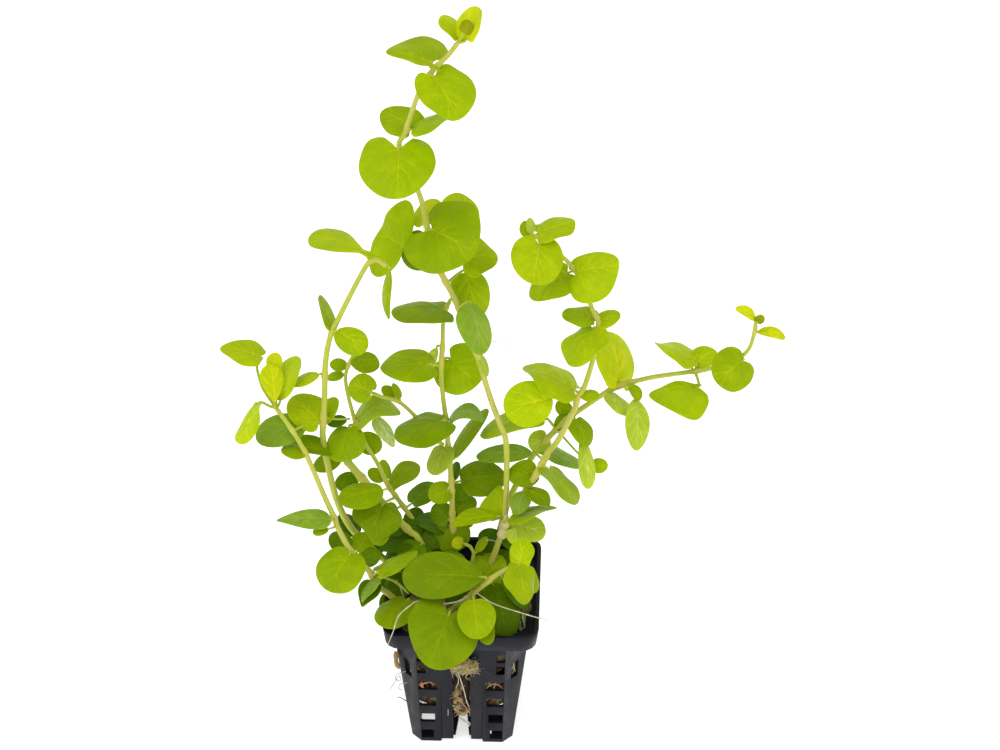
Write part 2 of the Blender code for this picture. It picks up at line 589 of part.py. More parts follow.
def smooth_path(points, spacing):
    """Points about spacing mm apart on a Catmull-Rom curve through the given points."""
    points = [Vector(point) for point in points]
    ends = [2 * points[0] - points[1], *points, 2 * points[-1] - points[-2]]
    path = []
    for index in range(len(points) - 1):
        a, b, c, d = ends[index:index + 4]
        steps = max(1, round((c - b).length / spacing))
        for step in range(steps):
            t = step / steps
            path.append(0.5 * (2 * b + (c - a) * t + (2 * a - 5 * b + 4 * c - d) * t ** 2
                               + (3 * b - a - 3 * c + d) * t ** 3))
    path.append(points[-1])
    return path


def tube(path, radii, sides, floor=None):
    """Corners and faces of a tube along the path, its radius running from the first to the second.

    With a floor, the first ring is cut level at that height, as a stem stands on the plug.
    """
    rings = []
    across = None
    for index, point in enumerate(path):
        before = path[max(index - 1, 0)]
        after = path[min(index + 1, len(path) - 1)]
        along = (after - before).normalized()
        if across is None:
            across = along.orthogonal().normalized()
        across = (across - along * across.dot(along)).normalized()
        beside = along.cross(across)
        part = index / (len(path) - 1)
        radius = radii[0] + (radii[1] - radii[0]) * part
        ring = []
        for step in range(sides):
            angle = 2 * math.pi * step / sides
            offset = radius * (math.cos(angle) * across + math.sin(angle) * beside)
            corner = point + offset
            if floor is not None and index == 0:
                corner = corner - along * ((corner.z - floor) / along.z)
            ring.append(tuple(corner))
        rings.append(ring)
    return loft(rings)


def shoot_path(shoot):
    """The stem's course in world millimetres, from its foot to its tip."""
    points = [seen(*point) for point in shoot["points"]]
    if shoot["foot"] is not None:
        points.insert(0, Vector((*shoot["foot"], PLUG_TOP + GAP)))
    return smooth_path(points, RING_SPACING)


def fine_path(shoot):
    """The same course in close steps, to find where a leaf stalk meets it."""
    points = [seen(*point) for point in shoot["points"]]
    return smooth_path(points, 1.0)


def as_seen(point):
    """Across, up and near of a world point: the reverse of seen."""
    offset = point - EYE
    depth = -offset.dot(NEAR)
    near = EYE_DISTANCE - depth
    scale = EYE_DISTANCE / depth
    across = EYE_ACROSS + offset.dot(ACROSS) * scale
    up = EYE_UP + offset.dot(UP) * scale
    return across, up, near


def attachment(row, path):
    """The stem's point nearest to the leaf's base as the eye sees it, its direction there, and its place."""
    def apart(index):
        across, up, _ = as_seen(path[index])
        return math.hypot(across - row["base"][0], up - row["base"][1])

    index = min(range(len(path)), key=apart)
    before = path[max(index - 1, 0)]
    after = path[min(index + 1, len(path) - 1)]
    return path[index], (after - before).normalized(), index / (len(path) - 1)


def leaf_frame(row, stem_point):
    """Base, tip, the direction to the leaf's right, its face's direction and its true width."""
    near = as_seen(stem_point)[2] + row["out"]
    run = Vector((row["tip"][0] - row["base"][0], row["tip"][1] - row["base"][1]))
    shown = max(run.length, row["width"])
    full = row["full"] or min(0.8 + 0.022 * shown, 1.25)
    length = math.hypot(run.length, row["dip"])
    roll = row["roll"]
    if roll is None:
        roll = math.degrees(math.acos(min(1.0, row["width"] / (full * length))))
        roll = math.copysign(roll, run.x)
    true_width = row["width"] / max(math.cos(math.radians(roll)), 0.2)
    base = seen(*row["base"], near)
    tip = seen(*row["tip"], near + row["dip"])
    along = (tip - base).normalized()
    flat_side = (run.y * ACROSS - run.x * UP).normalized()
    flat_side = (flat_side - along * flat_side.dot(along)).normalized()
    face = flat_side.cross(along)
    turn = math.radians(roll)
    right = math.cos(turn) * flat_side + math.sin(turn) * face
    return base, tip, right, right.cross(along), true_width


def blade_reach(angle, full):
    """Distance from the leaf's base to its edge at an angle from the midrib, for a leaf 1 long.

    The edge is an ellipse as wide as the leaf. The wider the leaf, the further the ellipse reaches
    behind the base, which gives the two lobes.
    """
    lobe = 0.19 * min(max((full - 0.85) / 0.4, 0.0), 1.0)
    half_long = (1 + lobe) / 2
    centre = (1 - lobe) / 2
    half_wide = full / 2
    bend = math.sin(angle) ** 2 / half_wide ** 2 + math.cos(angle) ** 2 / half_long ** 2
    lead = centre * math.cos(angle) / half_long ** 2
    return (lead + math.sqrt(max(lead ** 2 + bend * (1 - centre ** 2 / half_long ** 2), 0.0))) / bend


def widest_angle(full):
    """How far round from the midrib the blade reaches: past a right angle where it has lobes."""
    return math.radians(62 + 74 * min(max((full - 0.85) / 0.4, 0.0), 1.0))


def leaf_solid(name, row, path, radii, segments, finish, joined=False):
    """One leaf with its stalk as a closed lens: two faces that meet at its edge.

    The blade is a fan from its base. Its midrib rises over the line from base to tip, and its sides
    fall away from the midrib. A leaf that stands alone has one ring of points inside its edge, and
    its stalk stops just short of the stem. The stalk of a joined leaf runs into the stem.
    """
    stem_point, stem_along, part = attachment(row, path)
    stem_radius = radii[0] + (radii[1] - radii[0]) * part
    base, tip, right, face, width = leaf_frame(row, stem_point)
    length = (tip - base).length
    along = (tip - base) / length
    full = width / length
    limit = widest_angle(full)
    if joined:
        limit = min(limit, SMALL_LEAF_REACH)

    def sheet(x, y):
        part = min(max(y / length, 0.0), 1.0)
        rise = 4 * row["arch"] * length * part * (1 - part) + row["cup"] * width * (2 * x / width) ** 2
        return base + x * right + y * along + rise * face

    outer, ring = [], []
    for step in range(segments + 1):
        angle = limit * (2 * step / segments - 1)
        reach = length * blade_reach(angle, full)
        x, y = reach * math.sin(angle), reach * math.cos(angle)
        outer.append(sheet(x, y))
        if not joined:
            ring.append(sheet(MID_RING * x, MID_RING * y))
    start = stem_point - base
    square = start.normalized().cross(stem_along).length
    short = stem_radius * square + 1.5 * GAP if part == 1 else (stem_radius + 1.5 * GAP) / max(square, 0.5)
    if joined:
        short = -0.5
    foot = base + start.normalized() * max(start.length - short, 0.4)
    stalk = (base - foot).normalized()
    foot_side = (right - stalk * right.dot(stalk)).normalized()
    foot_face = foot_side.cross(stalk)
    bend_face = (foot_face + face) / max(1 + foot_face.dot(face), 0.6)
    half = PETIOLE_WIDTH / 2
    lift = LEAF_THICKNESS / 2
    corners = [foot - half * foot_side, foot + half * foot_side, base - half * right, base + half * right]
    corners += outer + ring[:1] + ring[-1:]
    blocks = []
    for way in (lift, -lift):
        blocks.append(len(corners))
        corners += [foot + way * foot_face, base + way * bend_face]
        corners += [point + way * face for point in ring[1:-1]]
    faces = leaf_side(blocks[0], segments, joined)
    faces += [face_corners[::-1] for face_corners in leaf_side(blocks[1], segments, joined)]
    faces.append((0, blocks[1], 1, blocks[0]))
    return solid(name, corners, faces, finish, helper=joined)


def leaf_side(first, segments, joined):
    """The faces of one side of a leaf, whose own corners start at the index first.

    They are all triangles, so that both sides bend along the same lines and never cross.
    """
    left_foot, right_foot, left_base, right_base = range(4)
    foot_middle, base_middle = first, first + 1
    middle_step = segments // 2
    edge = range(4, 5 + segments)
    ring = edge
    left_end, right_end = 0, segments
    if not joined:
        ring = [5 + segments, *range(first + 2, first + 1 + segments), 6 + segments]
        left_end, right_end = (segments - 1) // 2, segments // 2 + 1
    faces = [
        (left_foot, foot_middle, base_middle),
        (left_foot, base_middle, left_base),
        (foot_middle, right_foot, right_base),
        (foot_middle, right_base, base_middle),
        (left_base, base_middle, ring[left_end]),
        (base_middle, right_base, ring[right_end]),
    ]
    for step in range(segments):
        root = left_base if step < left_end else right_base if step >= right_end else base_middle
        faces.append((root, ring[step + 1], ring[step]))
        if joined:
            continue
        near_edge = edge[step + 1] if step < middle_step else edge[step]
        near_ring = ring[step] if step < middle_step else ring[step + 1]
        faces.append((ring[step], ring[step + 1], near_edge))
        faces.append((near_ring, edge[step + 1], edge[step]))
    return faces


def leaf_size(row):
    """A leaf's shown width times its length, which ranks the leaves."""
    run = math.hypot(row["tip"][0] - row["base"][0], row["tip"][1] - row["base"][1])
    return max(run, 0.6 * row["width"]) * max(row["width"], 0.35 * run)


def make_shoot(name, shoot, limit, stem_finish, leaf_finish):
    """A stem, its large leaves as objects of their own, and its small ones joined to it."""
    path = shoot_path(shoot)
    close = fine_path(shoot)
    radii = shoot["radii"]
    floor = PLUG_TOP + GAP if shoot["foot"] is not None else None
    stem = solid(name, *tube(path, radii, STEM_SIDES, floor), stem_finish)
    group = bpy.data.collections.new(f"{name}_small_leaves")
    group.hide_render = True
    bpy.context.scene.collection.children.link(group)
    plain = name.replace("_stem", "").replace("_shoot", "")
    large = 0
    for index, row in enumerate(shoot["leaves"]):
        if leaf_size(row) < SMALLEST_LEAF:
            continue
        if leaf_size(row) >= limit:
            large += 1
            leaf_solid(f"{plain}_leaf_{large:02d}", row, close, radii, OWN_LEAF_SEGMENTS, leaf_finish)
            continue
        small_name = f"{name}_small_{index}"
        small = leaf_solid(small_name, row, close, radii, SMALL_LEAF_SEGMENTS, leaf_finish, joined=True)
        bpy.context.scene.collection.objects.unlink(small)
        group.objects.link(small)
    if group.objects:
        boolean(stem, "UNION", group=group)
    return stem


def add_roots(stem, finish):
    """Joins the thin roots to the front stem."""
    for index, points in enumerate(AERIAL_ROOTS):
        path = smooth_path([seen(*point) for point in points], RING_SPACING)
        root = solid(f"root_form_{index}", *tube(path, (ROOT_RADIUS, ROOT_RADIUS), 4), finish, helper=True)
        boolean(stem, "UNION", root)


def main():
    clear_scene()
    plastic = material("black plastic", (0.03, 0.032, 0.04), 0.45)
    wool = material("rock wool", (0.26, 0.2, 0.08), 0.95)
    stalk = material("stem", (0.58, 0.6, 0.11), 0.5)
    green = material("leaf", (0.37, 0.5, 0.01), 0.45)
    make_pot(plastic)
    make_plug(wool)
    sizes = sorted((leaf_size(row) for shoot in SHOOTS.values() for row in shoot["leaves"]), reverse=True)
    limit = sizes[LEAVES_ON_THEIR_OWN - 1]
    for name, shoot in SHOOTS.items():
        stem = make_shoot(name, shoot, limit, stalk, green)
        if name == "front_stem":
            add_roots(stem, stalk)


main()
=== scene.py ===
"""Creeping jenny in a square net pot: its finished surfaces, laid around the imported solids.

Metres, +Z up; the layout tables are in millimetres. The origin is at the middle of the pot's floor.
A shoot is laid out as it is seen from the front and above: across and up in the picture plane
through the middle of the rim, and near, the distance from that plane towards the eye.
"""
import math

import bmesh
import bpy
import mathutils
import numpy as np
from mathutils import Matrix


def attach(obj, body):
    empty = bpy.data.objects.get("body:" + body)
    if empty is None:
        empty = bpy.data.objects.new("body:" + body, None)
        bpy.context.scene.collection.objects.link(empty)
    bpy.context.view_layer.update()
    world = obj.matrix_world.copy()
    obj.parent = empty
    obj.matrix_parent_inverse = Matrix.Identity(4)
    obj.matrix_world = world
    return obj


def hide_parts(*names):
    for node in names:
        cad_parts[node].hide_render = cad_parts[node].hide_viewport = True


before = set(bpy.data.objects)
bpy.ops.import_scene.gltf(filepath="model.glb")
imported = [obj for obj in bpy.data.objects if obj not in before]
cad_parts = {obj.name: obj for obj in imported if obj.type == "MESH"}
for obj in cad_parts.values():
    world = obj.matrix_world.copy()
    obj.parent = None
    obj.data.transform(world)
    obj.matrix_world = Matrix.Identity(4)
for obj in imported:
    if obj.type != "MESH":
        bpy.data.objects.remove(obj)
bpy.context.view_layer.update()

bl_info = {
    "name": "Creeping Jenny in a Net Pot",
    "version": (1, 0, 0),
    "blender": (4, 5, 0),
    "location": "View3D > Sidebar > Creeping Jenny",
    "description": "Makes the pot, the rock wool, the shoots, the leaves and the roots of a creeping jenny",
    "category": "Add Mesh",
}

MM = 0.001

# The pot and the plug, in millimetres
POT_HEIGHT = 53.0
BAND_HEIGHT = 6.0
BODY_TOP_WIDTH = 44.0
BODY_FOOT_WIDTH = 33.0
WALL = 1.2
PLUG_FOOT = 12.5
PLUG_TOP = 44.0
PLUG_CLEARANCE = 0.7
GAP = 0.3

# Wool in the front slot and the tuft over it: the middle across, up and out, then half of each size
TONGUE = ((0.0, 25.7, -1.6), (2.4, 13.6, 2.2))
TUFT = ((1.2, 38.2, 1.3), (4.1, 2.6, 1.3))
SLOT_HOLLOW = 1.1

# How many fibres of each colour lie on the tongue and on the tuft
FRONT_FIBRES = {"straw fibre": (300, 620), "brown fibre": (120, 40)}

# The eye that the layout is read from: a distance, two angles and where its axis passes
EYE_DISTANCE = 1100.0
EYE_ELEVATION = math.radians(37.1)
EYE_AZIMUTH = math.radians(1.67)
EYE_ACROSS = 12.0
EYE_UP = 68.3
PICTURE_SCALE = 3.091
PICTURE_WIDTH = 1000
SENSOR_WIDTH = 36.0

# How much nearer to the front face a millimetre towards the eye brings a point
DEPTH_SHARE = 0.746

RIM_MIDDLE = np.array([0.0, 0.0, POT_HEIGHT])
ACROSS = np.array([math.cos(EYE_AZIMUTH), math.sin(EYE_AZIMUTH), 0.0])
NEAR = np.array([
    math.sin(EYE_AZIMUTH) * math.cos(EYE_ELEVATION),
    -math.cos(EYE_AZIMUTH) * math.cos(EYE_ELEVATION),
    math.sin(EYE_ELEVATION),
])
UP = np.cross(NEAR, ACROSS)
EYE = RIM_MIDDLE + EYE_ACROSS * ACROSS + EYE_UP * UP + EYE_DISTANCE * NEAR

# Leaves: half the blade's thickness, its groove, the stalk, and the grid over a large and a small blade
BLADE_HALF = 0.15
GROOVE_DEPTH = 0.022
STALK_RADIUS = 0.55
STALK_SIDES = 7
LARGE_GRID = (36, 20)
SMALL_GRID = (20, 11)

# The lobes: how far they reach behind the base, and how their inner corners turn in
LOBE_REACH = 0.34
CORNER_TURN = 0.45
CORNER_CUT = 0.25

# Veins: their slope at the base, how it grows with their start, how they curve, and where they start
VEIN_COURSE = (0.05, 3.8, 0.85)
VEIN_STARTS = (-0.08, 0.02, 0.16, 0.34, 0.55)
VEIN_SPACING = 0.17

# Stems: their rings, and the swelling at each joint that bears a leaf of more than the given mm2
RING_SPACING = 1.1
STEM_SIDES = 12
JOINT_LEAF = 20
JOINT_SWELLING = 0.3
JOINT_LENGTH = 1.3


def leaf(base, tip, width, out=0.0, dip=0.0, full=None, roll=None, arch=0.06, cup=-0.05, tone="bright",
         via=(), narrow=0.0, droop=0.0, wave=1.0, lobe=LOBE_REACH, point=0.0, fold=0.0, side=0.0):
    """One leaf as it is seen: where its blade starts and ends, and how wide it looks.

    out is how much nearer its blade starts than its stem, dip how much nearer its tip is than its
    base, full its width over its length, roll its turn about its midrib in degrees, arch the rise
    of its midrib over its length, cup the rise of its edges over its width, tone its colour, via
    the points (across, up) that its stalk passes, narrow how much its foot is drawn in, droop how
    far its tip bends back over its length, wave the height of its waves over the usual, lobe how
    far its lobes reach behind its base over its length, if it is wide enough to have them, point
    how pointed its tip is, fold the rise of its halves from the midrib over their width, side how
    much wider its right half is than its left over the whole width.
    """
    return dict(base=base, tip=tip, width=width, out=out, dip=dip, full=full, roll=roll, arch=arch,
                cup=cup, tone=tone, via=via, narrow=narrow, droop=droop, wave=wave, lobe=lobe,
                point=point, fold=fold, side=side)


# Each shoot: its foot on the plug or None, its points (across, up, near), its radii and its leaves
SHOOTS = {
    "tall_stem": dict(
        foot=(6.0, 5.6),
        points=((8.4, 5.5, -4), (12, 15.5, 2), (13, 20, 4), (14, 30, 10), (14, 46, 18.5),
                (12, 52.5, 22), (9, 60.5, 26.5), (4.3, 75.5, 35), (1, 83.5, 39), (-2.2, 92, 44),
                (-7.5, 102.5, 49.5), (-11.3, 115, 56.5), (-14, 126.5, 63), (-20.5, 141.5, 71),
                (-18.5, 147, 74), (-14.5, 159, 80.5), (-10, 166.5, 85), (-5, 171.5, 87.5),
                (-1.5, 176, 90)),
        radii=(1.1, 0.8),
        leaves=(
            leaf((0.9, 177), (3.6, 187.4), 7.0, out=1, dip=-2, tone="young"),
            leaf((-1.6, 177), (-6.2, 184.6), 6.0, out=-2, dip=-3, narrow=0.4, tone="fresh"),
            leaf((0.4, 179), (2.2, 183), 4.2, out=3, dip=1, tone="olive"),
            leaf((-10.4, 169.6), (-24.8, 172.6), 10.4, out=1, dip=-2, full=1.15, lobe=0.5, point=0.3,
                 side=0.6, via=((-10.6, 168),)),
            leaf((-9.2, 164.6), (-1.8, 151.4), 16.6, out=2, dip=4, side=-0.12),
            leaf((-16.8, 148.7), (-26.3, 153.4), 11.2, out=-4, dip=-6, full=1.1, lobe=0.5, point=0.5,
                 tone="mid"),
            leaf((-16, 147.8), (-3.6, 151.9), 5.4, dip=-3, point=0.5, droop=-0.1),
            leaf((-20.8, 141.2), (-21.2, 125.6), 23.2, out=2.5, dip=7, lobe=0.48),
            leaf((-9.9, 115.3), (3.6, 108), 25, out=3, dip=6, roll=20, lobe=0.5, tone="mid"),
            leaf((-19.5, 110), (-27.2, 115.4), 25, out=-3, dip=-5, roll=20, lobe=0.1),
            leaf((-12.4, 117), (-10.5, 124.9), 8.5, out=-4, dip=-7, tone="young"),
            leaf((-0.7, 116.5), (-1.1, 126.8), 12, out=-10, dip=-6, full=1.1, tone="fresh"),
            leaf((-12, 112.5), (-17.4, 103), 12, out=-9, dip=-3, tone="deep"),
            leaf((0, 105), (10.7, 108), 12, out=-3, dip=-5, wave=2.5, tone="fresh"),
            leaf((0.8, 101.5), (4.5, 87), 12.5, out=-8.5, dip=1, full=0.9),
            leaf((2.3, 91.5), (5.5, 75.3), 10, out=5, dip=5, full=0.8, tone="grey"),
            leaf((5.2, 75.5), (7.6, 68), 2.4, out=-2, full=0.6, tone="pale"),
            leaf((11, 22.6), (-3.6, 20), 7.5, out=3, dip=3, full=0.7, point=0.9, narrow=0.3, side=0.4),
            leaf((12.4, 21.8), (11.8, 32.4), 11, out=1.2, point=0.8, side=-0.5),
            leaf((14.4, 21.3), (29.9, 25.6), 6.2, out=4, dip=4, point=1, narrow=0.5, side=0.3, lobe=0),
            leaf((17, 19.5), (26.5, 17), 8, dip=2, tone="pale"),
            leaf((16.4, 18.6), (18.8, 12.4), 6, out=2, dip=3, tone="pale"),
        ),
    ),
    "left_stem": dict(
        foot=(-12.5, 5.0),
        points=((-20, 4, -5), (-27, 10, -1), (-32, 14.5, 2), (-37, 20, 5), (-41.5, 30, 11),
                (-45, 46, 20), (-45.3, 52, 24), (-44.8, 60, 29), (-44.5, 72, 36), (-43, 80.5, 41),
                (-40.5, 86, 44.5), (-36, 95, 50), (-31, 104, 55), (-28, 105.5, 56), (-24.5, 103.5, 57)),
        radii=(1.35, 0.8),
        leaves=(
            leaf((-32.5, 108.5), (-49.3, 113.3), 9.5, dip=-3, tone="fresh", narrow=0.8),
            leaf((-23.6, 102.5), (-25.3, 87), 2.6, dip=1, full=0.5, droop=0.1, point=0.6, tone="mid"),
            leaf((-42.2, 82), (-46, 93.5), 4, dip=-2, full=0.7, tone="mid"),
            leaf((-41, 82.5), (-31.6, 76.6), 9.8, out=2, dip=4, full=0.88, narrow=0.35),
            leaf((-46.6, 68.6), (-55.6, 64.8), 3.4, out=-2, dip=1, full=0.8, wave=2, tone="fresh"),
            leaf((-46.4, 53), (-55.4, 61), 11.5, out=1, dip=-3, full=1.1, tone="fresh"),
            leaf((-44.4, 52.5), (-41.8, 61), 5, out=-1, dip=-3, full=0.7),
            leaf((-37.5, 54), (-43.8, 52.8), 3.5, out=-6, full=0.8, tone="dark"),
        ),
    ),
    "middle_stem": dict(
        foot=(-2.0, 9.0),
        points=((-3.3, 21, 1), (-3.6, 31, 7), (-4.2, 40, 12.5), (-4.8, 46, 16), (-5.5, 54, 21),
                (-6.5, 62, 26), (-7, 70.5, 29.5), (-6.6, 78, 33), (-6.2, 87, 36.5), (-4, 93, 39)),
        radii=(1.1, 0.7),
        leaves=(
            leaf((-6.6, 89.5), (-22.5, 88), 8, out=1, dip=2, tone="mid"),
            leaf((-11.2, 71.8), (-26, 70), 11, out=3.5, dip=2, via=((-10, 71.6),)),
            leaf((-4, 73.3), (5, 65.2), 17, out=-6, dip=2, roll=0),
            leaf((-8.6, 77), (-11.7, 67.7), 3.5, out=-5.5, full=0.6, tone="pale"),
            leaf((-6.9, 53.5), (-21.2, 46.7), 10.5, out=6, dip=5, tone="moss"),
            leaf((-4, 54), (6.5, 54), 5, dip=1, arch=0.3, tone="grey"),
            leaf((-5.8, 45), (-9, 36), 8, out=2, dip=3, tone="pale"),
            leaf((-2.8, 41.5), (7.5, 57), 4.5, dip=-5, full=0.45, tone="mid"),
            leaf((-0.7, 34), (13.5, 36), 12, out=-6, dip=-1, full=0.95, tone="moss"),
            leaf((-5, 31), (-10.8, 28.5), 7.5, out=1, dip=1, tone="mid"),
            leaf((-4.6, 21.5), (-9.5, 26), 8, dip=-3, tone="deep"),
            leaf((-2.4, 24), (3.5, 28.5), 7, out=-2, dip=-3, tone="moss"),
            leaf((-5, 19), (-15, 22), 6, out=-4, dip=-2, tone="dark"),
            leaf((-4, 18.8), (-2, 11.2), 12, out=-1.5, dip=-1, tone="moss"),
        ),
    ),
    "low_left_stem": dict(
        foot=(-14.0, -3.0),
        points=((-21, -5, 4), (-24, -2.5, 6.5), (-28, 0.5, 9), (-30, 4.5, 11), (-35, 9.5, 13),
                (-40, 18, 17), (-42, 23, 19.5), (-45, 29.5, 23), (-50, 41, 28), (-54, 48.5, 31),
                (-57, 53, 33), (-60.5, 57.7, 35)),
        radii=(1.2, 0.75),
        leaves=(
            leaf((-65.8, 74.2), (-78.2, 77), 8.4, dip=-2, point=0.6, tone="fresh",
                 via=((-63.2, 61.5), (-65.2, 65), (-66.6, 71))),
            leaf((-67, 58.4), (-70.9, 46.2), 6.8, out=2, dip=5, narrow=0.5, tone="fresh",
                 via=((-62.5, 58.2), (-64.7, 59.3))),
            leaf((-60.9, 58.8), (-62.2, 71.4), 9.6, out=3, dip=-1, full=0.8, narrow=0.9, tone="young"),
            leaf((-59.2, 60), (-54.5, 74.3), 8.5, dip=-5, full=0.8, tone="fresh"),
            leaf((-60.8, 69.5), (-60.8, 75.6), 5, dip=-1, full=0.9, tone="young",
                 via=((-60.4, 63), (-60.7, 67))),
            leaf((-50.8, 53), (-66.6, 47.4), 10.4, out=-6, dip=2, full=0.72, lobe=0, tone="grey"),
            leaf((-51, 42.8), (-58.5, 44.3), 5, dip=-1, tone="mid"),
            leaf((-42.5, 21.4), (-59.8, 21.2), 8, out=2, dip=2, full=0.65, point=1.3, tone="grey"),
            leaf((-43.5, 18.5), (-48.4, 17), 3, out=3, dip=1, full=0.7, tone="mid"),
            leaf((-36.6, 10.4), (-43.6, -1.6), 15, out=3, dip=4, lobe=0.2, tone="mid"),
            leaf((-34, 11.5), (-30.5, 17), 8, out=-5, dip=-3, tone="mid"),
            leaf((-28.5, 1), (-32.5, -6.6), 8, out=1, dip=3, point=0.9, fold=0.3, tone="deep"),
            leaf((-27, 5), (-15, 10.8), 5, out=3, dip=-2, tone="mid"),
            leaf((-18, -4.6), (-26, -12.8), 10, out=6, dip=8, tone="mid"),
        ),
    ),
    "slender_stem": dict(
        foot=(-7.0, 13.0),
        points=((-12, 15, -7), (-14, 18.5, -5), (-18, 24, -2), (-22, 29.5, 2), (-24.5, 33, 4),
                (-27.5, 39.5, 8), (-31.5, 46, 12), (-34, 51, 15), (-36.5, 59, 20), (-38, 67, 25),
                (-37, 71.5, 27.5), (-35.5, 74.5, 29)),
        radii=(0.95, 0.6),
        leaves=(
            leaf((-36, 75), (-38.6, 78.3), 2.5, full=0.8),
            leaf((-35, 74), (-27.5, 70.5), 6.5, out=1, dip=2, tone="mid"),
            leaf((-37.6, 71.5), (-42.9, 71.8), 4, out=-1, full=0.9, tone="mid"),
            leaf((-38.5, 68.6), (-43.7, 67), 3, out=-1, full=0.8, tone="mid"),
            leaf((-33.6, 53.8), (-20.5, 56.3), 7, out=2, dip=-1, arch=0.28),
            leaf((-28.5, 54.8), (-22.4, 44.9), 5.5, out=-2, dip=2, full=0.6, point=0.8, tone="wan"),
            leaf((-37, 51.3), (-39.6, 40.2), 12, out=3, dip=5, lobe=0.15, tone="mid"),
            leaf((-33.5, 47.5), (-26.5, 44.5), 7.5, out=-5, dip=1, tone="mid"),
            leaf((-25.8, 31.2), (-40, 27.5), 8, out=13, dip=4, full=0.7, tone="mid"),
            leaf((-23.5, 31.8), (-14.6, 39.6), 8.5, out=-1, dip=-3, narrow=0.6, tone="mid"),
            leaf((-26.2, 26), (-30, 16), 15.4, out=11, dip=5, wave=2, tone="moss"),
            leaf((-25.6, 34), (-30.5, 37.5), 4.5, dip=-1, full=0.8, tone="mid"),
            leaf((-24.8, 34.5), (-25.5, 40.7), 3.8, out=-2, dip=-2, full=0.8, tone="mid"),
            leaf((-16.5, 27), (-8.5, 33), 6, out=-1, dip=-2, tone="deep"),
        ),
    ),
    "branch_stem": dict(
        foot=None,
        points=((-6.4, 45.6, 16.2), (-9, 48, 17.5), (-14.5, 54, 20), (-20.5, 59.5, 23),
                (-26, 61.2, 24.5), (-29.5, 62.6, 25.5)),
        radii=(0.75, 0.6),
        leaves=(
            leaf((-30.3, 63), (-36.6, 66), 9.3, out=3, full=1.1),
            leaf((-22, 61), (-25.8, 64.5), 4, out=-1, dip=-1, full=0.8, tone="mid"),
            leaf((-20.4, 60.5), (-22.5, 65.5), 2.5, full=0.6, tone="mid"),
            leaf((-16.5, 52), (-14, 47), 5, out=-2, dip=2, full=0.9, tone="mid"),
        ),
    ),
    "leaning_stem": dict(
        foot=(-9.5, 9.0),
        points=((-14, 14.5, 0), (-17, 17.5, 2), (-22, 22.5, 5), (-31, 33, 11), (-34.5, 37, 13),
                (-38, 41, 15)),
        radii=(1.0, 1.35),
        leaves=(
            leaf((-39.2, 42), (-48, 38), 6, out=-4, dip=1, full=0.75, tone="mid"),
            leaf((-37.5, 42), (-36, 49), 6, out=-4, dip=-3, tone="deep"),
            leaf((-34, 34), (-41, 33), 7, out=-4, dip=1, full=1, tone="deep"),
            leaf((-21.8, 21.4), (-28, 21), 6, out=-2.5, dip=1, full=0.8, tone="deep"),
            leaf((-17, 19.5), (-14, 25), 7, out=-9, dip=-3, tone="dark"),
            leaf((-13.5, 13.5), (-20, 8), 8, out=2, dip=3, tone="deep"),
        ),
    ),
    "right_stem": dict(
        foot=None,
        points=((16.6, 23.6, 6), (20.3, 30.5, 10), (24.5, 37.5, 14), (27.5, 43, 17), (31, 47.5, 20),
                (36, 57, 25), (37, 60.5, 27), (39.5, 65, 30), (42.5, 75, 36), (44, 84.5, 41),
                (42.3, 88.5, 43), (40.7, 92.5, 45), (36.7, 101.7, 50), (30, 108.5, 54), (23, 113.7, 57)),
        radii=(1.15, 0.65),
        leaves=(
            leaf((28, 37.6), (36.5, 26.3), 6.5, out=3, dip=4, tone="mid"),
            leaf((23.8, 37.3), (15, 35), 9, out=-3, dip=2, tone="mid"),
            leaf((35.4, 64), (20.8, 71), 9, out=-2, dip=-2, wave=2, tone="fresh"),
            leaf((37.6, 62), (44, 61.4), 3.5, dip=1, full=0.8),
            leaf((29, 60.8), (13.4, 57.8), 14.6, dip=3, full=0.9, lobe=0, tone="fresh",
                 via=((33.5, 62.5),)),
            leaf((42, 83.3), (35, 71.3), 10.5, out=2, dip=4, wave=2, tone="fresh"),
            leaf((42.5, 86.3), (32.8, 88.7), 7, out=-1, dip=-2, wave=2),
            leaf((43.6, 84.8), (50.6, 88.2), 5.6, dip=-1, full=0.9, tone="fresh"),
            leaf((37, 101.6), (50.3, 103.6), 15.4, out=2, dip=4, full=1.2, side=0.3, tone="fresh"),
            leaf((33.8, 101.2), (22.4, 93.6), 11.5, out=-3, dip=1, tone="fresh"),
            leaf((24.8, 110.3), (22.5, 98), 16.5, out=3, dip=4, tone="fresh"),
            leaf((24.5, 114.4), (36, 117.5), 8, dip=-2, wave=2, tone="fresh"),
            leaf((22, 114), (21.7, 119), 3, dip=-1, full=0.7, tone="pale"),
            leaf((20.6, 112.8), (20, 118), 4, out=-1, dip=-1, full=0.7, tone="mid"),
            leaf((21, 31.3), (28, 26.3), 4.5, out=2, dip=2, tone="mid"),
            leaf((20, 30.5), (17, 23.5), 6, out=3, dip=2, full=0.9, tone="grey"),
            leaf((22.5, 43), (5, 42), 5.5, out=-8, full=0.5, tone="grey"),
        ),
    ),
    "far_right_stem": dict(
        foot=(8.0, 12.0),
        points=((11, 14, -8), (15, 28, -2), (22.5, 42, 4), (29.5, 50, 8), (35, 55, 10.5),
                (40, 58.5, 12.5), (49, 64, 15.5), (60, 67.3, 18), (72.7, 69.2, 20), (80, 70.4, 21),
                (91, 75, 24), (94.2, 81.5, 27), (94.7, 85.5, 29)),
        radii=(1.3, 0.65),
        leaves=(
            leaf((50.6, 66.2), (46.8, 82.4), 14, out=-1, dip=-5, narrow=0.3, tone="young"),
            leaf((47.5, 61.9), (54.5, 55), 5, out=2, dip=3, tone="pale"),
            leaf((56, 60.6), (56, 44.6), 10, out=3, dip=5, full=0.65, narrow=0.3, point=0.4, tone="pale",
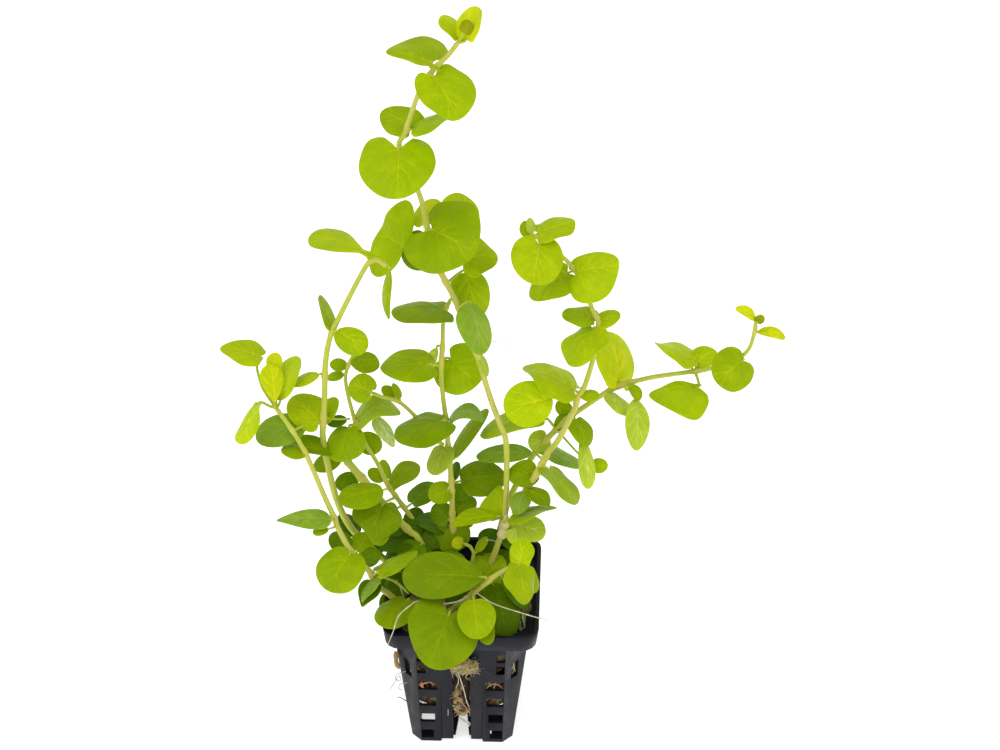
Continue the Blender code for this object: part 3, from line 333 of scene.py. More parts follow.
                 via=((54, 64),)),
            leaf((75, 73), (62.8, 78.7), 6.4, out=-2, dip=-2, wave=2, tone="fresh"),
            leaf((74.6, 71.6), (81.6, 76.4), 7, out=-3, dip=-2, full=1, tone="fresh"),
            leaf((75.6, 64.6), (60.4, 61.8), 8.8, out=3, dip=2, point=0.5, side=-0.6),
            leaf((90.4, 73), (81.6, 66.2), 14, out=3, dip=4),
            leaf((94.6, 86), (88.5, 90), 3.2, full=0.5, arch=0.25, tone="young"),
            leaf((95.2, 82.2), (104.3, 80), 3.4, full=0.4, arch=0.3, tone="young"),
            leaf((95.2, 85.5), (97.2, 87.5), 3, out=1, full=0.9, tone="olive"),
            leaf((38.6, 47.6), (40.2, 31.7), 6.2, out=2, dip=5, full=0.5, narrow=0.4, tone="pale",
                 via=((37.6, 52),)),
            leaf((34.8, 55.6), (30.5, 59.5), 5, out=-3, dip=-1, full=0.9, tone="mid"),
            leaf((26.8, 48), (21.5, 45), 7.5, out=-1, dip=2, full=1, tone="pale"),
            leaf((26.5, 54), (6.3, 49), 7, out=2.4, dip=1.6, full=0.75, arch=0.12),
            leaf((34.4, 55.4), (30.4, 50.6), 5, out=-2, dip=1, full=0.8, tone="moss"),
            leaf((26, 44.5), (37.5, 38.5), 5, out=-3, dip=1, tone="grey"),
        ),
    ),
    "front_stem": dict(
        foot=(-8.0, -9.6),
        points=((-3, -7, 10), (0.5, -4.7, 13), (3.7, -2, 15), (10, 3, 16), (14.5, 5.6, 16.5),
                (17.7, 6.7, 17)),
        radii=(1.15, 0.85),
        leaves=(
            leaf((6.6, 3), (-18.6, 3.6), 17.4, out=2.5, dip=2, full=0.72, narrow=0.45, lobe=0,
                 tone="moss"),
            leaf((3.5, -4.3), (5, -16.6), 12.5, out=6, dip=8, roll=0, cup=0),
            leaf((-4.6, -9.2), (-10.8, -25.6), 23, out=10.5, dip=7, roll=0, cup=-0.02, lobe=0.45,
                 wave=1.6, tone="moss"),
            leaf((18.3, 6.8), (20, 14.8), 8, dip=-3, wave=3, tone="fresh"),
            leaf((18.2, 6.6), (19.5, -4.8), 10, out=2, dip=3, wave=3),
            leaf((19, 6), (23.5, -2), 6, out=-3, dip=1, tone="mid"),
            leaf((9.4, 1), (14.5, -16), 12, out=-8, dip=2, full=0.72, tone="deep"),
            leaf((4.2, -7), (8.6, -18.6), 7, dip=10, roll=0, cup=0, tone="mid"),
        ),
    ),
    "curled_shoot": dict(
        foot=(3.0, 1.0),
        points=((3.3, 5, -4), (3.3, 9, -1), (3.5, 10.7, 0), (2.3, 12.8, 1), (0, 13.8, 1.5)),
        radii=(0.8, 0.6),
        leaves=(
            leaf((-0.6, 13.8), (-3.6, 14.2), 4.2, dip=1, full=0.9, tone="young"),
            leaf((4.2, 11), (7.8, 15.7), 3, full=0.7),
            leaf((1.5, 6), (-8, 9), 8, out=2.5, full=0.8, tone="deep"),
            leaf((6, 7.5), (16, 9.5), 7, out=-5, full=0.7, arch=0.02, tone="deep"),
        ),
    ),
}

# Leaves that stand for a solid of their own: their places in their shoot's list
OWN_LEAVES = {
    "tall_stem": (3, 4, 7, 8, 9, 11, 13, 14, 15),
    "left_stem": (0, 3, 5),
    "middle_stem": (0, 1, 2, 4, 7, 8),
    "low_left_stem": (0, 3, 5, 7, 9, 13),
    "slender_stem": (6, 8, 10),
    "right_stem": (2, 4, 5, 8, 9, 10, 11, 16),
    "far_right_stem": (0, 2, 5, 6, 10, 13),
    "front_stem": (0, 1, 2, 4, 6),
}

# Small leaves that the solids leave out: fresh tips, and the dark ones deep between the stems, painted dark
# partly as shade
FILLING_LEAVES = {
    "middle_stem": (
        leaf((-4, 34), (-1.5, 40), 3, out=-2, tone="dark"),
        leaf((-7, 17), (-13, 13), 7, out=-3, dip=1, tone="dark"),
        leaf((-3, 22), (-9, 16), 7, out=-5, tone="dark"),
        leaf((-3, 24), (3, 20), 7, out=-5, tone="deep"),
        leaf((-4, 30), (2, 31), 6, out=-6, tone="deep"),
    ),
    "front_stem": (
        leaf((4.5, 0.5), (12.5, 9), 13.5, out=-17, dip=-2, full=1.1, tone="mid"),
        leaf((1, -3), (-6, -3), 8, out=-4, tone="dark"),
        leaf((16, 4), (20, -7), 7, out=-9, dip=2, tone="dark"),
        leaf((18.2, -5), (21.8, -7.8), 3.6, out=-11, fold=0.5, wave=2, tone="brown"),
        leaf((19.2, -8.2), (20, -15.4), 2.8, out=-11, point=0.6, fold=0.4, tone="wan"),
    ),
    "low_left_stem": (
        leaf((-28, 2.5), (-32.6, -5), 4.4, out=2.5, dip=3, point=0.9, tone="grey"),
        leaf((-24, -2), (-17, 3), 8, out=-4, dip=-2, tone="dark"),
        leaf((-22, -3), (-25, -9.5), 8, out=-4, dip=2, tone="deep"),
        leaf((-33, 8), (-27, 11), 6, out=-3, dip=-1, tone="deep"),
        leaf((-37, 12), (-42.6, 16.6), 7, out=-5, dip=-2, tone="deep"),
    ),
    "leaning_stem": (
        leaf((-15, 14), (-23, 8), 9, out=-1, dip=2, point=0.6, tone="dark"),
        leaf((-14, 13), (-15, 4), 9, dip=3, point=0.4, tone="dark"),
        leaf((-20, 20), (-26, 17), 7, out=-1, dip=1, point=0.9, tone="dark"),
        leaf((-17, 16), (-27, 12), 8, out=-2, dip=2, point=0.5, tone="dark"),
        leaf((-18, 18), (-24, 13), 7, out=-4, dip=2, tone="dark"),
        leaf((-20, 21), (-14, 16), 7, out=-6, dip=1, tone="dark"),
        leaf((-24, 25), (-31, 22), 7, out=-6, tone="dark"),
        leaf((-16, 16), (-9, 15), 7, out=-6, dip=1, tone="deep"),
    ),
    "tall_stem": (
        leaf((10, 10), (3, 7), 8, out=-3, dip=2, tone="dark"),
        leaf((12, 15), (5, 16), 7, out=-4, tone="dark"),
        leaf((13, 18), (20, 12), 7, out=-5, tone="dark"),
        leaf((9, 6), (16, 3), 7, out=-2, tone="dark"),
    ),
    "left_stem": (
        leaf((-41.5, 42.8), (-58, 45.2), 5.4, out=2.5, dip=1, full=0.5, cup=0.15, tone="moss"),
        leaf((-21, 5), (-26, 0), 8, out=-1, dip=2, tone="dark"),
        leaf((-21, 6), (-15, 1), 9, out=-1, dip=2, tone="dark"),
        leaf((-24, 7), (-18, 12), 7, out=-2, tone="dark"),
        leaf((-30, 12), (-24, 17), 7, out=-3, tone="dark"),
        leaf((-34, 17), (-40, 23), 5, out=-3, tone="dark"),
    ),
    "slender_stem": (
        leaf((-15, 20), (-21, 15), 7, out=-2, dip=1, tone="dark"),
        leaf((-13, 17), (-6, 12), 8, out=-3, dip=1, tone="deep"),
        leaf((-28, 20.5), (-26, 13.4), 7.4, out=9, dip=2),
    ),
    "far_right_stem": (
        leaf((36.4, 54), (40.2, 45.6), 7.4, out=2.5, dip=2, tone="mid"),
        leaf((41.6, 39.3), (46.8, 38.6), 5),
        leaf((54.2, 64.8), (57, 60), 3.6, out=2, dip=1, fold=0.4),
        leaf((12, 17), (19, 18), 7, out=-2, tone="dark"),
    ),
}

# Thin strands: their finish, radius and points (across, up, near)
THREADS = (
    ("root skin", 0.24, ((3.4, -2.2, 14.8), (-2, -5, 17.5), (-8, -5.7, 18.5), (-14, -4.7, 19), (-18, -7, 20),
                         (-21, -10, 21.5), (-22.5, -14.5, 23), (-24.5, -19.5, 23))),
    ("root skin", 0.2, ((3.9, -1.8, 14.8), (10, -5.7, 17), (20, -9, 19), (24.5, -10.3, 20), (27, -11, 20.5),
                        (29, -13, 21))),
    ("grey root", 0.09, ((9, 79, 32), (13.5, 79.3, 32.5), (15.2, 77.4, 32.5), (13.7, 76, 32))),
    ("root skin", 0.14, ((-21.5, 2, 5), (-20.5, 0, 6.5), (-19, -4, 8))),
    ("root skin", 0.12, ((7.5, 14.8, 2), (9, 14.9, 3), (11, 14.4, 3.5))),
    ("stem skin", 0.5, ((-29, 4, 8), (-22, 1.5, 9.5), (-17.5, -2.5, 9))),
    ("grey root", 0.13, ((-18.5, -27.5, 3), (-21.4, -28.6, 3.5), (-21.7, -30.2, 3.5), (-20.3, -30.6, 3.4),
                         (-20.6, -28.9, 3.3), (-22.4, -31.6, 3.6), (-24.4, -34.3, 4))),
    ("joint skin", 1.5, ((12.4, 16, 3.4), (13.2, 18.4, 4.8), (13.8, 20.8, 6.2), (14.1, 23, 7.4))),
    ("grey root", 0.12, ((-18, -31.2, 2), (-20.4, -31.8, 3), (-20.6, -33.2, 3), (-19.4, -33.6, 2.8))),
    ("brown fibre", 0.16, ((-17.5, -37.6, 2), (-19.3, -36.6, 2.8), (-20.6, -35.9, 3), (-21.2, -36.1, 3.2))),
    ("bract", 0.85, ((-21.3, -21.2, 1), (-21.7, -23.2, 1.4), (-21.4, -25.2, 1.6), (-20.6, -26.8, 1.2))),
)

# Strands on the pot's front face: their finish, radius and points (across, up, out from the face)
FRONT_STRANDS = (
    ("root skin", 0.16, ((-1.6, -27.5, 0.2), (-1.0, -29.5, 0.5), (-0.2, -32, 0.5), (0.5, -34.3, 0.5),
                         (1.1, -37, 0.6), (2.3, -40, 0.4))),
    ("pink", 0.14, ((-2.4, -35.8, 0.7), (-0.9, -36.4, 1.1), (0.1, -38.2, 1.1), (2.0, -40.6, 0.9),
                    (2.3, -42, 0.5))),
    ("root skin", 0.1, ((-2.3, -28.2, 0.7), (-1.4, -30.4, 0.9), (-2.2, -33, 0.8))),
    ("root skin", 0.1, ((1.6, -28.4, 0.8), (0.9, -29.4, 1.0), (1.7, -30.2, 0.8))),
    ("film", 0.26, ((-1.4, -42.6, -0.4), (0.4, -43.3, 0.2), (1.7, -43.9, 0.1), (2.4, -44.8, -0.5))),
    ("film", 0.3, ((-0.6, -43.1, -0.9), (0.9, -44.1, -0.5), (2.2, -45.3, -1.0))),
    ("rust", 0.42, ((-14.2, -31.6, -1.1), (-13.4, -32.2, -0.8), (-12.6, -32.9, -1.0))),
    ("rust", 0.34, ((-13.6, -30.9, -1.1), (-13.1, -32.0, -0.8), (-13.6, -33.0, -1.1))),
    ("pink", 0.2, ((-13.6, -31.9, -0.7), (-12, -31.2, -0.6), (-10.4, -31.2, -0.7), (-8.6, -32.2, -1.1))),
    ("pink", 0.2, ((7.4, -33.2, -1.1), (8.6, -32.2, -0.7), (10.3, -31.6, -0.6), (12, -32.3, -0.8),
                   (13.2, -33.4, -1.2))),
)


def seen(across, up, near):
    """World points in millimetres: the rim's middle plus across and up, drawn near mm towards the eye.

    Each argument is a number or an array; the result has one more axis, of x, y and z.
    """
    across, up, near = (np.asarray(value, float)[..., None] for value in (across, up, near))
    flat = RIM_MIDDLE + across * ACROSS + up * UP
    return flat + (EYE - flat) * (near / EYE_DISTANCE)


def as_seen(points):
    """Across, up and near of world points: the reverse of seen."""
    offset = points - EYE
    depth = -offset @ NEAR
    scale = EYE_DISTANCE / depth
    return EYE_ACROSS + offset @ ACROSS * scale, EYE_UP + offset @ UP * scale, EYE_DISTANCE - depth


def unit(vectors):
    """The vectors divided by their lengths."""
    vectors = np.asarray(vectors, float)
    return vectors / np.maximum(np.linalg.norm(vectors, axis=-1, keepdims=True), 1e-9)


def smooth_path(points, spacing):
    """Points on a Catmull-Rom curve, with as many steps to a stretch as its length over the spacing."""
    points = np.asarray(points, float)
    ends = np.vstack([2 * points[0] - points[1], points, 2 * points[-1] - points[-2]])
    path = []
    for a, b, c, d in zip(ends, ends[1:], ends[2:], ends[3:]):
        steps = max(1, round(np.linalg.norm(c - b) / spacing))
        t = np.arange(steps)[:, None] / steps
        path.append(0.5 * (2 * b + (c - a) * t + (2 * a - 5 * b + 4 * c - d) * t ** 2
                           + (3 * b - a - 3 * c + d) * t ** 3))
    path.append(points[-1:])
    return np.vstack(path)


def run_length(path):
    """How far along the path each of its points lies."""
    return np.concatenate([[0.0], np.cumsum(np.linalg.norm(np.diff(path, axis=0), axis=1))])


def grid_triangles(index):
    """Two triangles for each cell of a grid of point numbers, without those that have no area."""
    a, b, c, d = index[:-1, :-1], index[1:, :-1], index[1:, 1:], index[:-1, 1:]
    cells = np.concatenate([np.stack([a, b, c], -1).reshape(-1, 3), np.stack([a, c, d], -1).reshape(-1, 3)])
    apart = (cells[:, 0] != cells[:, 1]) & (cells[:, 1] != cells[:, 2]) & (cells[:, 0] != cells[:, 2])
    return cells[apart]


def tube(path, radii, sides, reference):
    """A tube: circles of the given radii, square to the path, closed by a point at each end.

    A circle's point at angle v is path + radius * (cos v * across + sin v * beside), where across is
    the reference direction made square to the path and beside is square to both.
    """
    path = np.asarray(path, float)
    count = len(path)
    along = unit(np.gradient(path, axis=0))
    across = unit(reference - along * (along @ np.asarray(reference, float))[:, None])
    beside = np.cross(along, across)
    angle = np.linspace(0, 2 * math.pi, sides, endpoint=False)
    radii = np.broadcast_to(radii, (count,))[:, None, None]
    rings = path[:, None] + radii * (np.cos(angle)[None, :, None] * across[:, None]
                                     + np.sin(angle)[None, :, None] * beside[:, None])
    points = np.vstack([rings.reshape(-1, 3), path[:1], path[-1:]])
    index = np.arange(count * sides).reshape(count, sides)
    first = np.full((1, sides), count * sides)
    last = first + 1
    index = np.vstack([first, index, last])
    index = np.hstack([index, index[:, :1]])
    return points, grid_triangles(index)[:, ::-1]


def joined(pieces):
    """Points, triangles and attributes of several pieces as one set; each is (points, triangles, dict)."""
    points, triangles, start = [], [], 0
    for piece in pieces:
        points.append(piece[0])
        triangles.append(piece[1] + start)
        start += len(piece[0])
    names = pieces[0][2].keys()
    extras = {name: np.vstack([piece[2][name] for piece in pieces]) for name in names}
    return np.vstack(points), np.vstack(triangles), extras


def put_mesh(name, surface, finish):
    """A smooth-shaded mesh object from points in millimetres, triangles and point attributes.

    The attribute tint is a colour and any other is a vector.
    """
    points, triangles, extras = surface
    mesh = bpy.data.meshes.new(name)
    mesh.vertices.add(len(points))
    mesh.vertices.foreach_set("co", (points * MM).astype(np.float32).ravel())
    mesh.loops.add(triangles.size)
    mesh.loops.foreach_set("vertex_index", triangles.astype(np.int32).ravel())
    mesh.polygons.add(len(triangles))
    mesh.polygons.foreach_set("loop_start", np.arange(0, triangles.size, 3, dtype=np.int32))
    mesh.materials.append(finish)
    mesh.update(calc_edges=True)
    mesh.polygons.foreach_set("use_smooth", np.ones(len(triangles), bool))
    for key, values in extras.items():
        if key == "tint":
            attribute = mesh.attributes.new(key, "FLOAT_COLOR", "POINT")
            rgba = np.hstack([values, np.ones((len(values), 1))])
            attribute.data.foreach_set("color", rgba.astype(np.float32).ravel())
        else:
            attribute = mesh.attributes.new(key, "FLOAT_VECTOR", "POINT")
            attribute.data.foreach_set("vector", values.astype(np.float32).ravel())
    mesh.validate()
    mesh.set_sharp_from_angle(angle=math.radians(55))
    thing = bpy.data.objects.new(name, mesh)
    bpy.context.scene.collection.objects.link(thing)
    return thing


def linear(red, green, blue):
    """A colour given as 0 to 255 on a screen, as the linear values that a shader takes."""
    screen = np.array([red, green, blue]) / 255
    return np.where(screen <= 0.04045, screen / 12.92, ((screen + 0.055) / 1.055) ** 2.4)


# The blade's upper and under side for each tone of leaf. The tones are partly the leaves' own colours, young
# leaves yellow and undersides paler, and partly painted light and shade: deep and dark are painted shade on
# leaves deep among the stems, and the lighter tones also lighten some leaves that lie in shade
TONES = {
    "young": (linear(206, 214, 14), linear(206, 214, 44)),
    "fresh": (linear(190, 208, 8), linear(196, 212, 48)),
    "bright": (linear(170, 191, 4), linear(178, 198, 40)),
    "mid": (linear(154, 176, 2), linear(166, 188, 38)),
    "moss": (linear(134, 158, 2), linear(150, 172, 30)),
    "deep": (linear(112, 142, 2), linear(132, 160, 24)),
    "dark": (linear(88, 122, 6), linear(106, 138, 24)),
    "grey": (linear(150, 178, 52), linear(156, 184, 64)),
    "pale": (linear(192, 208, 62), linear(188, 206, 70)),
    "wan": (linear(214, 224, 132), linear(210, 222, 134)),
    "olive": (linear(150, 156, 4), linear(160, 166, 24)),
    "brown": (linear(158, 122, 72), linear(168, 134, 84)),
}

# Colours of the stalks, the stems and the wool; the wool's maroon is painted shade for its hollows, and its
# tan is the wool's own colour lightened as painted light
STALK_TINT = linear(198, 208, 78)
STEM_TINT = linear(198, 205, 84)
BLUSH_TINT = linear(230, 202, 130)
JOINT_TINT = linear(222, 200, 104)
WOOL_PAINTED_SHADE = linear(84, 42, 34)
WOOL_TAN_AND_PAINTED_LIGHT = linear(218, 200, 138)

# How much of each stem is blushed, where it is more than usual
USUAL_BLUSH = 0.15
STEM_BLUSH = {
    "tall_stem": 0.5,
    "front_stem": 0.75,
    "low_left_stem": 0.45,
    "right_stem": 0.35,
    "middle_stem": 0.3,
}


def attachment(row, path):
    """The stem's point nearest to the leaf's base as the eye sees it."""
    across, up, _ = as_seen(path)
    return path[np.argmin(np.hypot(across - row["base"][0], up - row["base"][1]))]


def leaf_frame(row, stem_point):
    """Base, tip, the direction to the leaf's right, its face's direction and its true width."""
    near = as_seen(stem_point)[2] + row["out"]
    run = np.subtract(row["tip"], row["base"])
    shown = max(np.hypot(*run), row["width"])
    full = row["full"] or min(0.8 + 0.022 * shown, 1.25)
    length = math.hypot(*run, row["dip"])
    roll = row["roll"]
    if roll is None:
        roll = math.copysign(math.degrees(math.acos(min(1.0, row["width"] / (full * length)))), run[0])
    true_width = row["width"] / max(math.cos(math.radians(roll)), 0.2)
    base = seen(*row["base"], near)
    tip = seen(*row["tip"], near + row["dip"])
    along = unit(tip - base)
    flat_side = unit(run[1] * ACROSS - run[0] * UP)
    flat_side = unit(flat_side - along * (flat_side @ along))
    turn = math.radians(roll)
    right = math.cos(turn) * flat_side + math.sin(turn) * np.cross(flat_side, along)
    return base, tip, right, np.cross(right, along), true_width


def lobe_share(full):
    """0 for a leaf narrow enough to have no lobes, 1 for one with full lobes."""
    return min(max((full - 0.85) / 0.4, 0.0), 1.0)


def blade_reach(angle, full, lobes):
    """Distance from the base to the edge at an angle from the midrib, for a leaf 1 long.

    The edge is an ellipse as wide as the leaf. The wider the leaf, the further the ellipse reaches
    behind the base, which gives the two lobes. The lobes' inner corners are drawn in to be round.
    """
    share = lobe_share(full)
    lobe = lobes * share
    half_long = (1 + lobe) / 2
    centre = (1 - lobe) / 2
    bend = np.sin(angle) ** 2 / (full / 2) ** 2 + np.cos(angle) ** 2 / half_long ** 2
    lead = centre * np.cos(angle) / half_long ** 2
    reach = (lead + np.sqrt(np.maximum(lead ** 2 + bend * (1 - centre ** 2 / half_long ** 2), 0))) / bend
    inwards = np.clip((np.abs(angle) - widest_angle(full)) / CORNER_TURN + 1, 0, 1)
    return reach * (1 - CORNER_CUT * inwards ** 2) * (1 + 0.03 * np.exp(-(angle / 0.3) ** 2))


def widest_angle(full):
    """How far round from the midrib the blade reaches: past a right angle where it has lobes."""
    return math.radians(78 + 62 * lobe_share(full))


def vein_place(x, y, length):
    """Where the vein through a point leaves the midrib, as a share of the length: 0 at the base.

    A vein that leaves at s runs along y = s L + (a + b s) |x| + c x^2 / L, and this solves it for s.
    """
    lead, turn, curve = VEIN_COURSE
    return (y - lead * np.abs(x) - curve * x ** 2 / length) / (length + turn * np.abs(x))


def close_ends(count, last):
    """Numbers from 0 to 1, even up to the last but one, which is close to 1, to keep an edge crisp."""
    return np.append(np.linspace(0, last, count - 1), 1.0)


def leaf_surface(row, path, grid, draw, settings):
    """One leaf: a blade with two sides that meet at its edge, and a stalk that runs on under its midrib.

    The blade is a fan on a grid of angle a and reach t. Its point is base + x right + y along +
    rise face, with x = t R(a) sin a and y = t R(a) cos a, R being blade_reach times the length and
    a small ripple. The rise adds a parabola along the midrib, one across it, a twist, a groove along
    the midrib, a fold, a tip bent back, swellings between the veins and waves that grow towards the
    edge. draw holds the leaf's own random numbers. Each side stands off by its half thickness, which
    is nothing at the edge.
    """
    stem_point = attachment(row, path)
    base, tip, right, face, width = leaf_frame(row, stem_point)
    length = float(np.linalg.norm(tip - base))
    along = (tip - base) / length
    full = width / length
    rounds, steps = grid
    limit = widest_angle(full)
    half_turn = close_ends(rounds, 0.994)
    a = limit * np.concatenate([-half_turn[:0:-1], half_turn])[:, None]
    t = close_ends(steps + 1, 0.994)[None, :]
    lean = 0.05 * math.sin(draw[6])
    bumps = 0.016 * np.sin(3 * a + draw[0]) + 0.012 * np.sin(6 * a + draw[1])
    ripple = 1 + row["wave"] * bumps + lean * np.sin(a)
    pointed = (1 + 0.12 * row["point"] * np.exp(-(a / 0.3) ** 2)) / (1 + 0.12 * row["point"])
    reach = t * blade_reach(a, full, row["lobe"]) * ripple * pointed * length
    x = reach * np.sin(a)
    y = reach * np.cos(a)
    part = np.clip(y / length, -0.3, 1)
    share = np.clip(part, 0, 1)
    x = x * (1 + row["side"] * np.tanh(3 * a)) * (1 - row["narrow"] * (1 - share) ** 1.5)
    x = x * (1 - 0.55 * row["point"] * share ** 2)
    rise = 4 * row["arch"] * length * part * (1 - part)
    rise = rise + (row["cup"] + 0.035 * math.sin(draw[4])) * width * (2 * x / width) ** 2
    rise = rise + row["fold"] * (np.sqrt(x ** 2 + (0.06 * width) ** 2) - 0.06 * width)
    rise = rise + 0.14 * math.sin(draw[7]) * x * y / length - row["droop"] * length * share ** 3
    groove = GROOVE_DEPTH * width * np.exp(-(x / (0.05 * width)) ** 2)
    rise = rise - groove * (1 - part) * np.minimum(1, 8 * t)
    between = np.abs(np.sin(math.pi * vein_place(x, y, length) / VEIN_SPACING))
    rise = rise + 0.013 * width * between * np.minimum(1, 3 * t) * (1 - t ** 4)
    waves = np.sin(4.2 * a + draw[2]) + 0.6 * np.sin(7.3 * a + draw[3])
    rise = rise + row["wave"] * settings.waviness * width * waves * t ** 3
    surface = base + x[..., None] * right + y[..., None] * along + rise[..., None] * face
    half = min(BLADE_HALF, 0.02 * width) + 0 * x
    index = np.arange(len(a) * steps).reshape(len(a), steps) + 1
    index = np.hstack([np.zeros((len(a), 1), int), index])
    flat = np.vstack([surface[:1, 0], surface[:, 1:].reshape(-1, 3)])
    lift = np.concatenate([[0.0], half[:, 1:].ravel()])
    lift[index[0]] = lift[index[-1]] = 0
    lift[index[:, -1]] = 0
    inner = np.flatnonzero(lift > 0)
    under = np.arange(len(flat))
    under[inner] = len(flat) + np.arange(len(inner))
    points = np.vstack([flat + lift[:, None] * face, flat[inner] - lift[inner, None] * face])
    triangles = np.vstack([grid_triangles(index), grid_triangles(under[index])[:, ::-1]])
    upper, lower = TONES[row["tone"]]
    shade = 1 + 0.08 * math.sin(draw[5])
    tint = np.vstack([np.tile(upper, (len(flat), 1)), np.tile(lower, (len(inner), 1))]) * shade
    marks = np.stack([x, y, length + 0 * x], -1)
    marks = np.vstack([marks[:1, 0], marks[:, 1:].reshape(-1, 3)])
    blade = points, triangles, dict(tint=tint, blade=np.vstack([marks, marks[inner]]))
    stalk = stalk_surface(row, stem_point, base, along, right, face, length, width, half.max())
    return joined([blade, stalk])


def stalk_surface(row, stem_point, base, along, right, face, length, width, half):
    """The leaf's stalk: a tube from inside the stem through any via points to the blade's base.

    It runs on under the midrib, as a rib that tapers to three quarters of the blade's length.
    """
    size = math.sqrt(min(max(width, length), 20) / 20)
    radius = STALK_RADIUS * (0.45 + 0.55 * size)
    span = float(np.linalg.norm(base - stem_point))
    near_from = as_seen(stem_point)[2]
    near_to = as_seen(base)[2]
    count = len(row["via"]) + 1
    route = [stem_point]
    for step, (across, up) in enumerate(row["via"], 1):
        route.append(seen(across, up, near_from + (near_to - near_from) * step / count))
    if not row["via"]:
        bow = min(span, 4.0)
        route.append((stem_point + base) / 2 - along * 0.16 * bow - face * 0.1 * bow)
    route.append(base - along * min(0.25 * span, 1.0) - face * half)
    start = smooth_path(route, 0.5)
    part = np.array([0.02, 0.1, 0.2, 0.32, 0.45, 0.6, 0.75])
    rise = 4 * row["arch"] * length * part * (1 - part)
    rise = rise - GROOVE_DEPTH * width * (1 - part) * np.minimum(1, 8 * part)
    rise = rise - row["droop"] * length * part ** 3
    rib = base + (part * length)[:, None] * along + (rise - 1.1 * half)[:, None] * face
    course = np.vstack([start, rib])
    run = run_length(course)
    stalk_end = run[len(start) - 1]
    radii = np.interp(run, [0, 0.8, stalk_end, run[-1]], [radius * 1.35, radius, radius * 0.8, 0.08])
    points, triangles = tube(course, radii, STALK_SIDES, right)
    tint = np.tile(STALK_TINT, (len(points), 1))
    blend = np.clip((np.repeat(run, STALK_SIDES) - stalk_end) / (0.4 * length), 0, 1)[:, None]
    tint[:len(blend)] = tint[:len(blend)] * (1 - blend) + TONES[row["tone"]][1] * blend
    off_the_veins = np.tile([99.0, -99.0, length], (len(points), 1))
    return points, triangles, dict(tint=tint, blade=off_the_veins)


def leaf_size(row):
    """A leaf's shown width times its length, which ranks the leaves."""
    run = math.hypot(row["tip"][0] - row["base"][0], row["tip"][1] - row["base"][1])
    return max(run, 0.6 * row["width"]) * max(row["width"], 0.35 * run)


def shoot_points(shoot):
    """The stem's given points in world millimetres, from its foot in the plug to its tip."""
    points = [seen(*point) for point in shoot["points"]]
    if shoot["foot"] is not None:
        points.insert(0, np.array([*shoot["foot"], PLUG_TOP + GAP]))
        points.insert(0, points[0] - np.array([0, 0, 3.0]))
    return points


def fine_path(shoot):
    """The seen stretch of the stem in close steps, to find where a leaf stalk meets it."""
    return smooth_path([seen(*point) for point in shoot["points"]], 1.0)


def stem_surface(shoot, draw, most):
    """A stem: a tube whose radius runs evenly from foot to tip, with a swelling at each joint.

    The swelling is 1 + k exp(-(s / l)^2) with s the distance from the joint. The tint goes towards
    cream at the joints and blushes in slow waves between them; most is the deepest blush.
    """
    path = smooth_path(shoot_points(shoot), RING_SPACING)
    run = run_length(path)
    joints = []
    for row in shoot["leaves"]:
        if leaf_size(row) > JOINT_LEAF:
            point = attachment(row, path)
            joints.append(run[np.argmin(np.linalg.norm(path - point, axis=1))])
    near_joint = np.exp(-((run[:, None] - np.array(joints)[None]) / JOINT_LENGTH) ** 2).max(axis=1)
    radii = np.interp(run, [0, run[-1]], shoot["radii"]) * (0.92 + JOINT_SWELLING * near_joint)
    radii[-1] *= 0.6
    points, triangles = tube(path, radii, STEM_SIDES, NEAR)
    blush = most * (0.5 + 0.5 * np.sin(run / 9 + draw[0]) * np.sin(run / 23 + draw[1]))
    high = np.clip(run / run[-1], 0, 1)
    tint = STEM_TINT * (1 - blush[:, None]) + BLUSH_TINT * blush[:, None]
    tint = tint * (1 - 0.6 * near_joint[:, None]) + JOINT_TINT * 0.6 * near_joint[:, None]
    tint = tint * (1 - 0.25 * high[:, None]) + TONES["bright"][0] * 0.25 * high[:, None]
    tint = np.repeat(tint, STEM_SIDES, axis=0)
    return points, triangles, dict(tint=np.vstack([tint, tint[:1], tint[-1:]]))


def wavy(points, waves):
    """A smooth pseudo-random height at each point: a sum of sines, each (amplitude, direction, phase)."""
    height = np.zeros(len(points))
    for amplitude, direction, phase in waves:
        height += amplitude * np.sin(points @ np.asarray(direction) + phase)
    return height


def lumps(seed, count, size, amplitude):
    """Random waves of about the given size for wavy."""
    draw = np.random.default_rng(seed)
    waves = []
    for index in range(count):
        scale = 1 + 0.45 * index
        direction = unit(draw.normal(size=3)) * (2 * math.pi / size) * scale
        waves.append((amplitude / scale, direction, draw.uniform(0, 2 * math.pi)))
    return waves


def front_depth(height):
    """How far in front of the pot's middle its front face lies at a height."""
    return (BODY_FOOT_WIDTH + (BODY_TOP_WIDTH - BODY_FOOT_WIDTH) * height / (POT_HEIGHT - BAND_HEIGHT)) / 2


def on_front(across, up, out):
    """The world point that is seen at (across, up) and lies a distance out from the pot's front face.

    It steps along the line of sight, on which each mm towards the eye brings DEPTH_SHARE mm of depth.
    """
    near = 10.0
    for _ in range(4):
        point = seen(across, up, near)
        near = near + (out + front_depth(point[2]) + point[1]) / DEPTH_SHARE
    return seen(across, up, near)


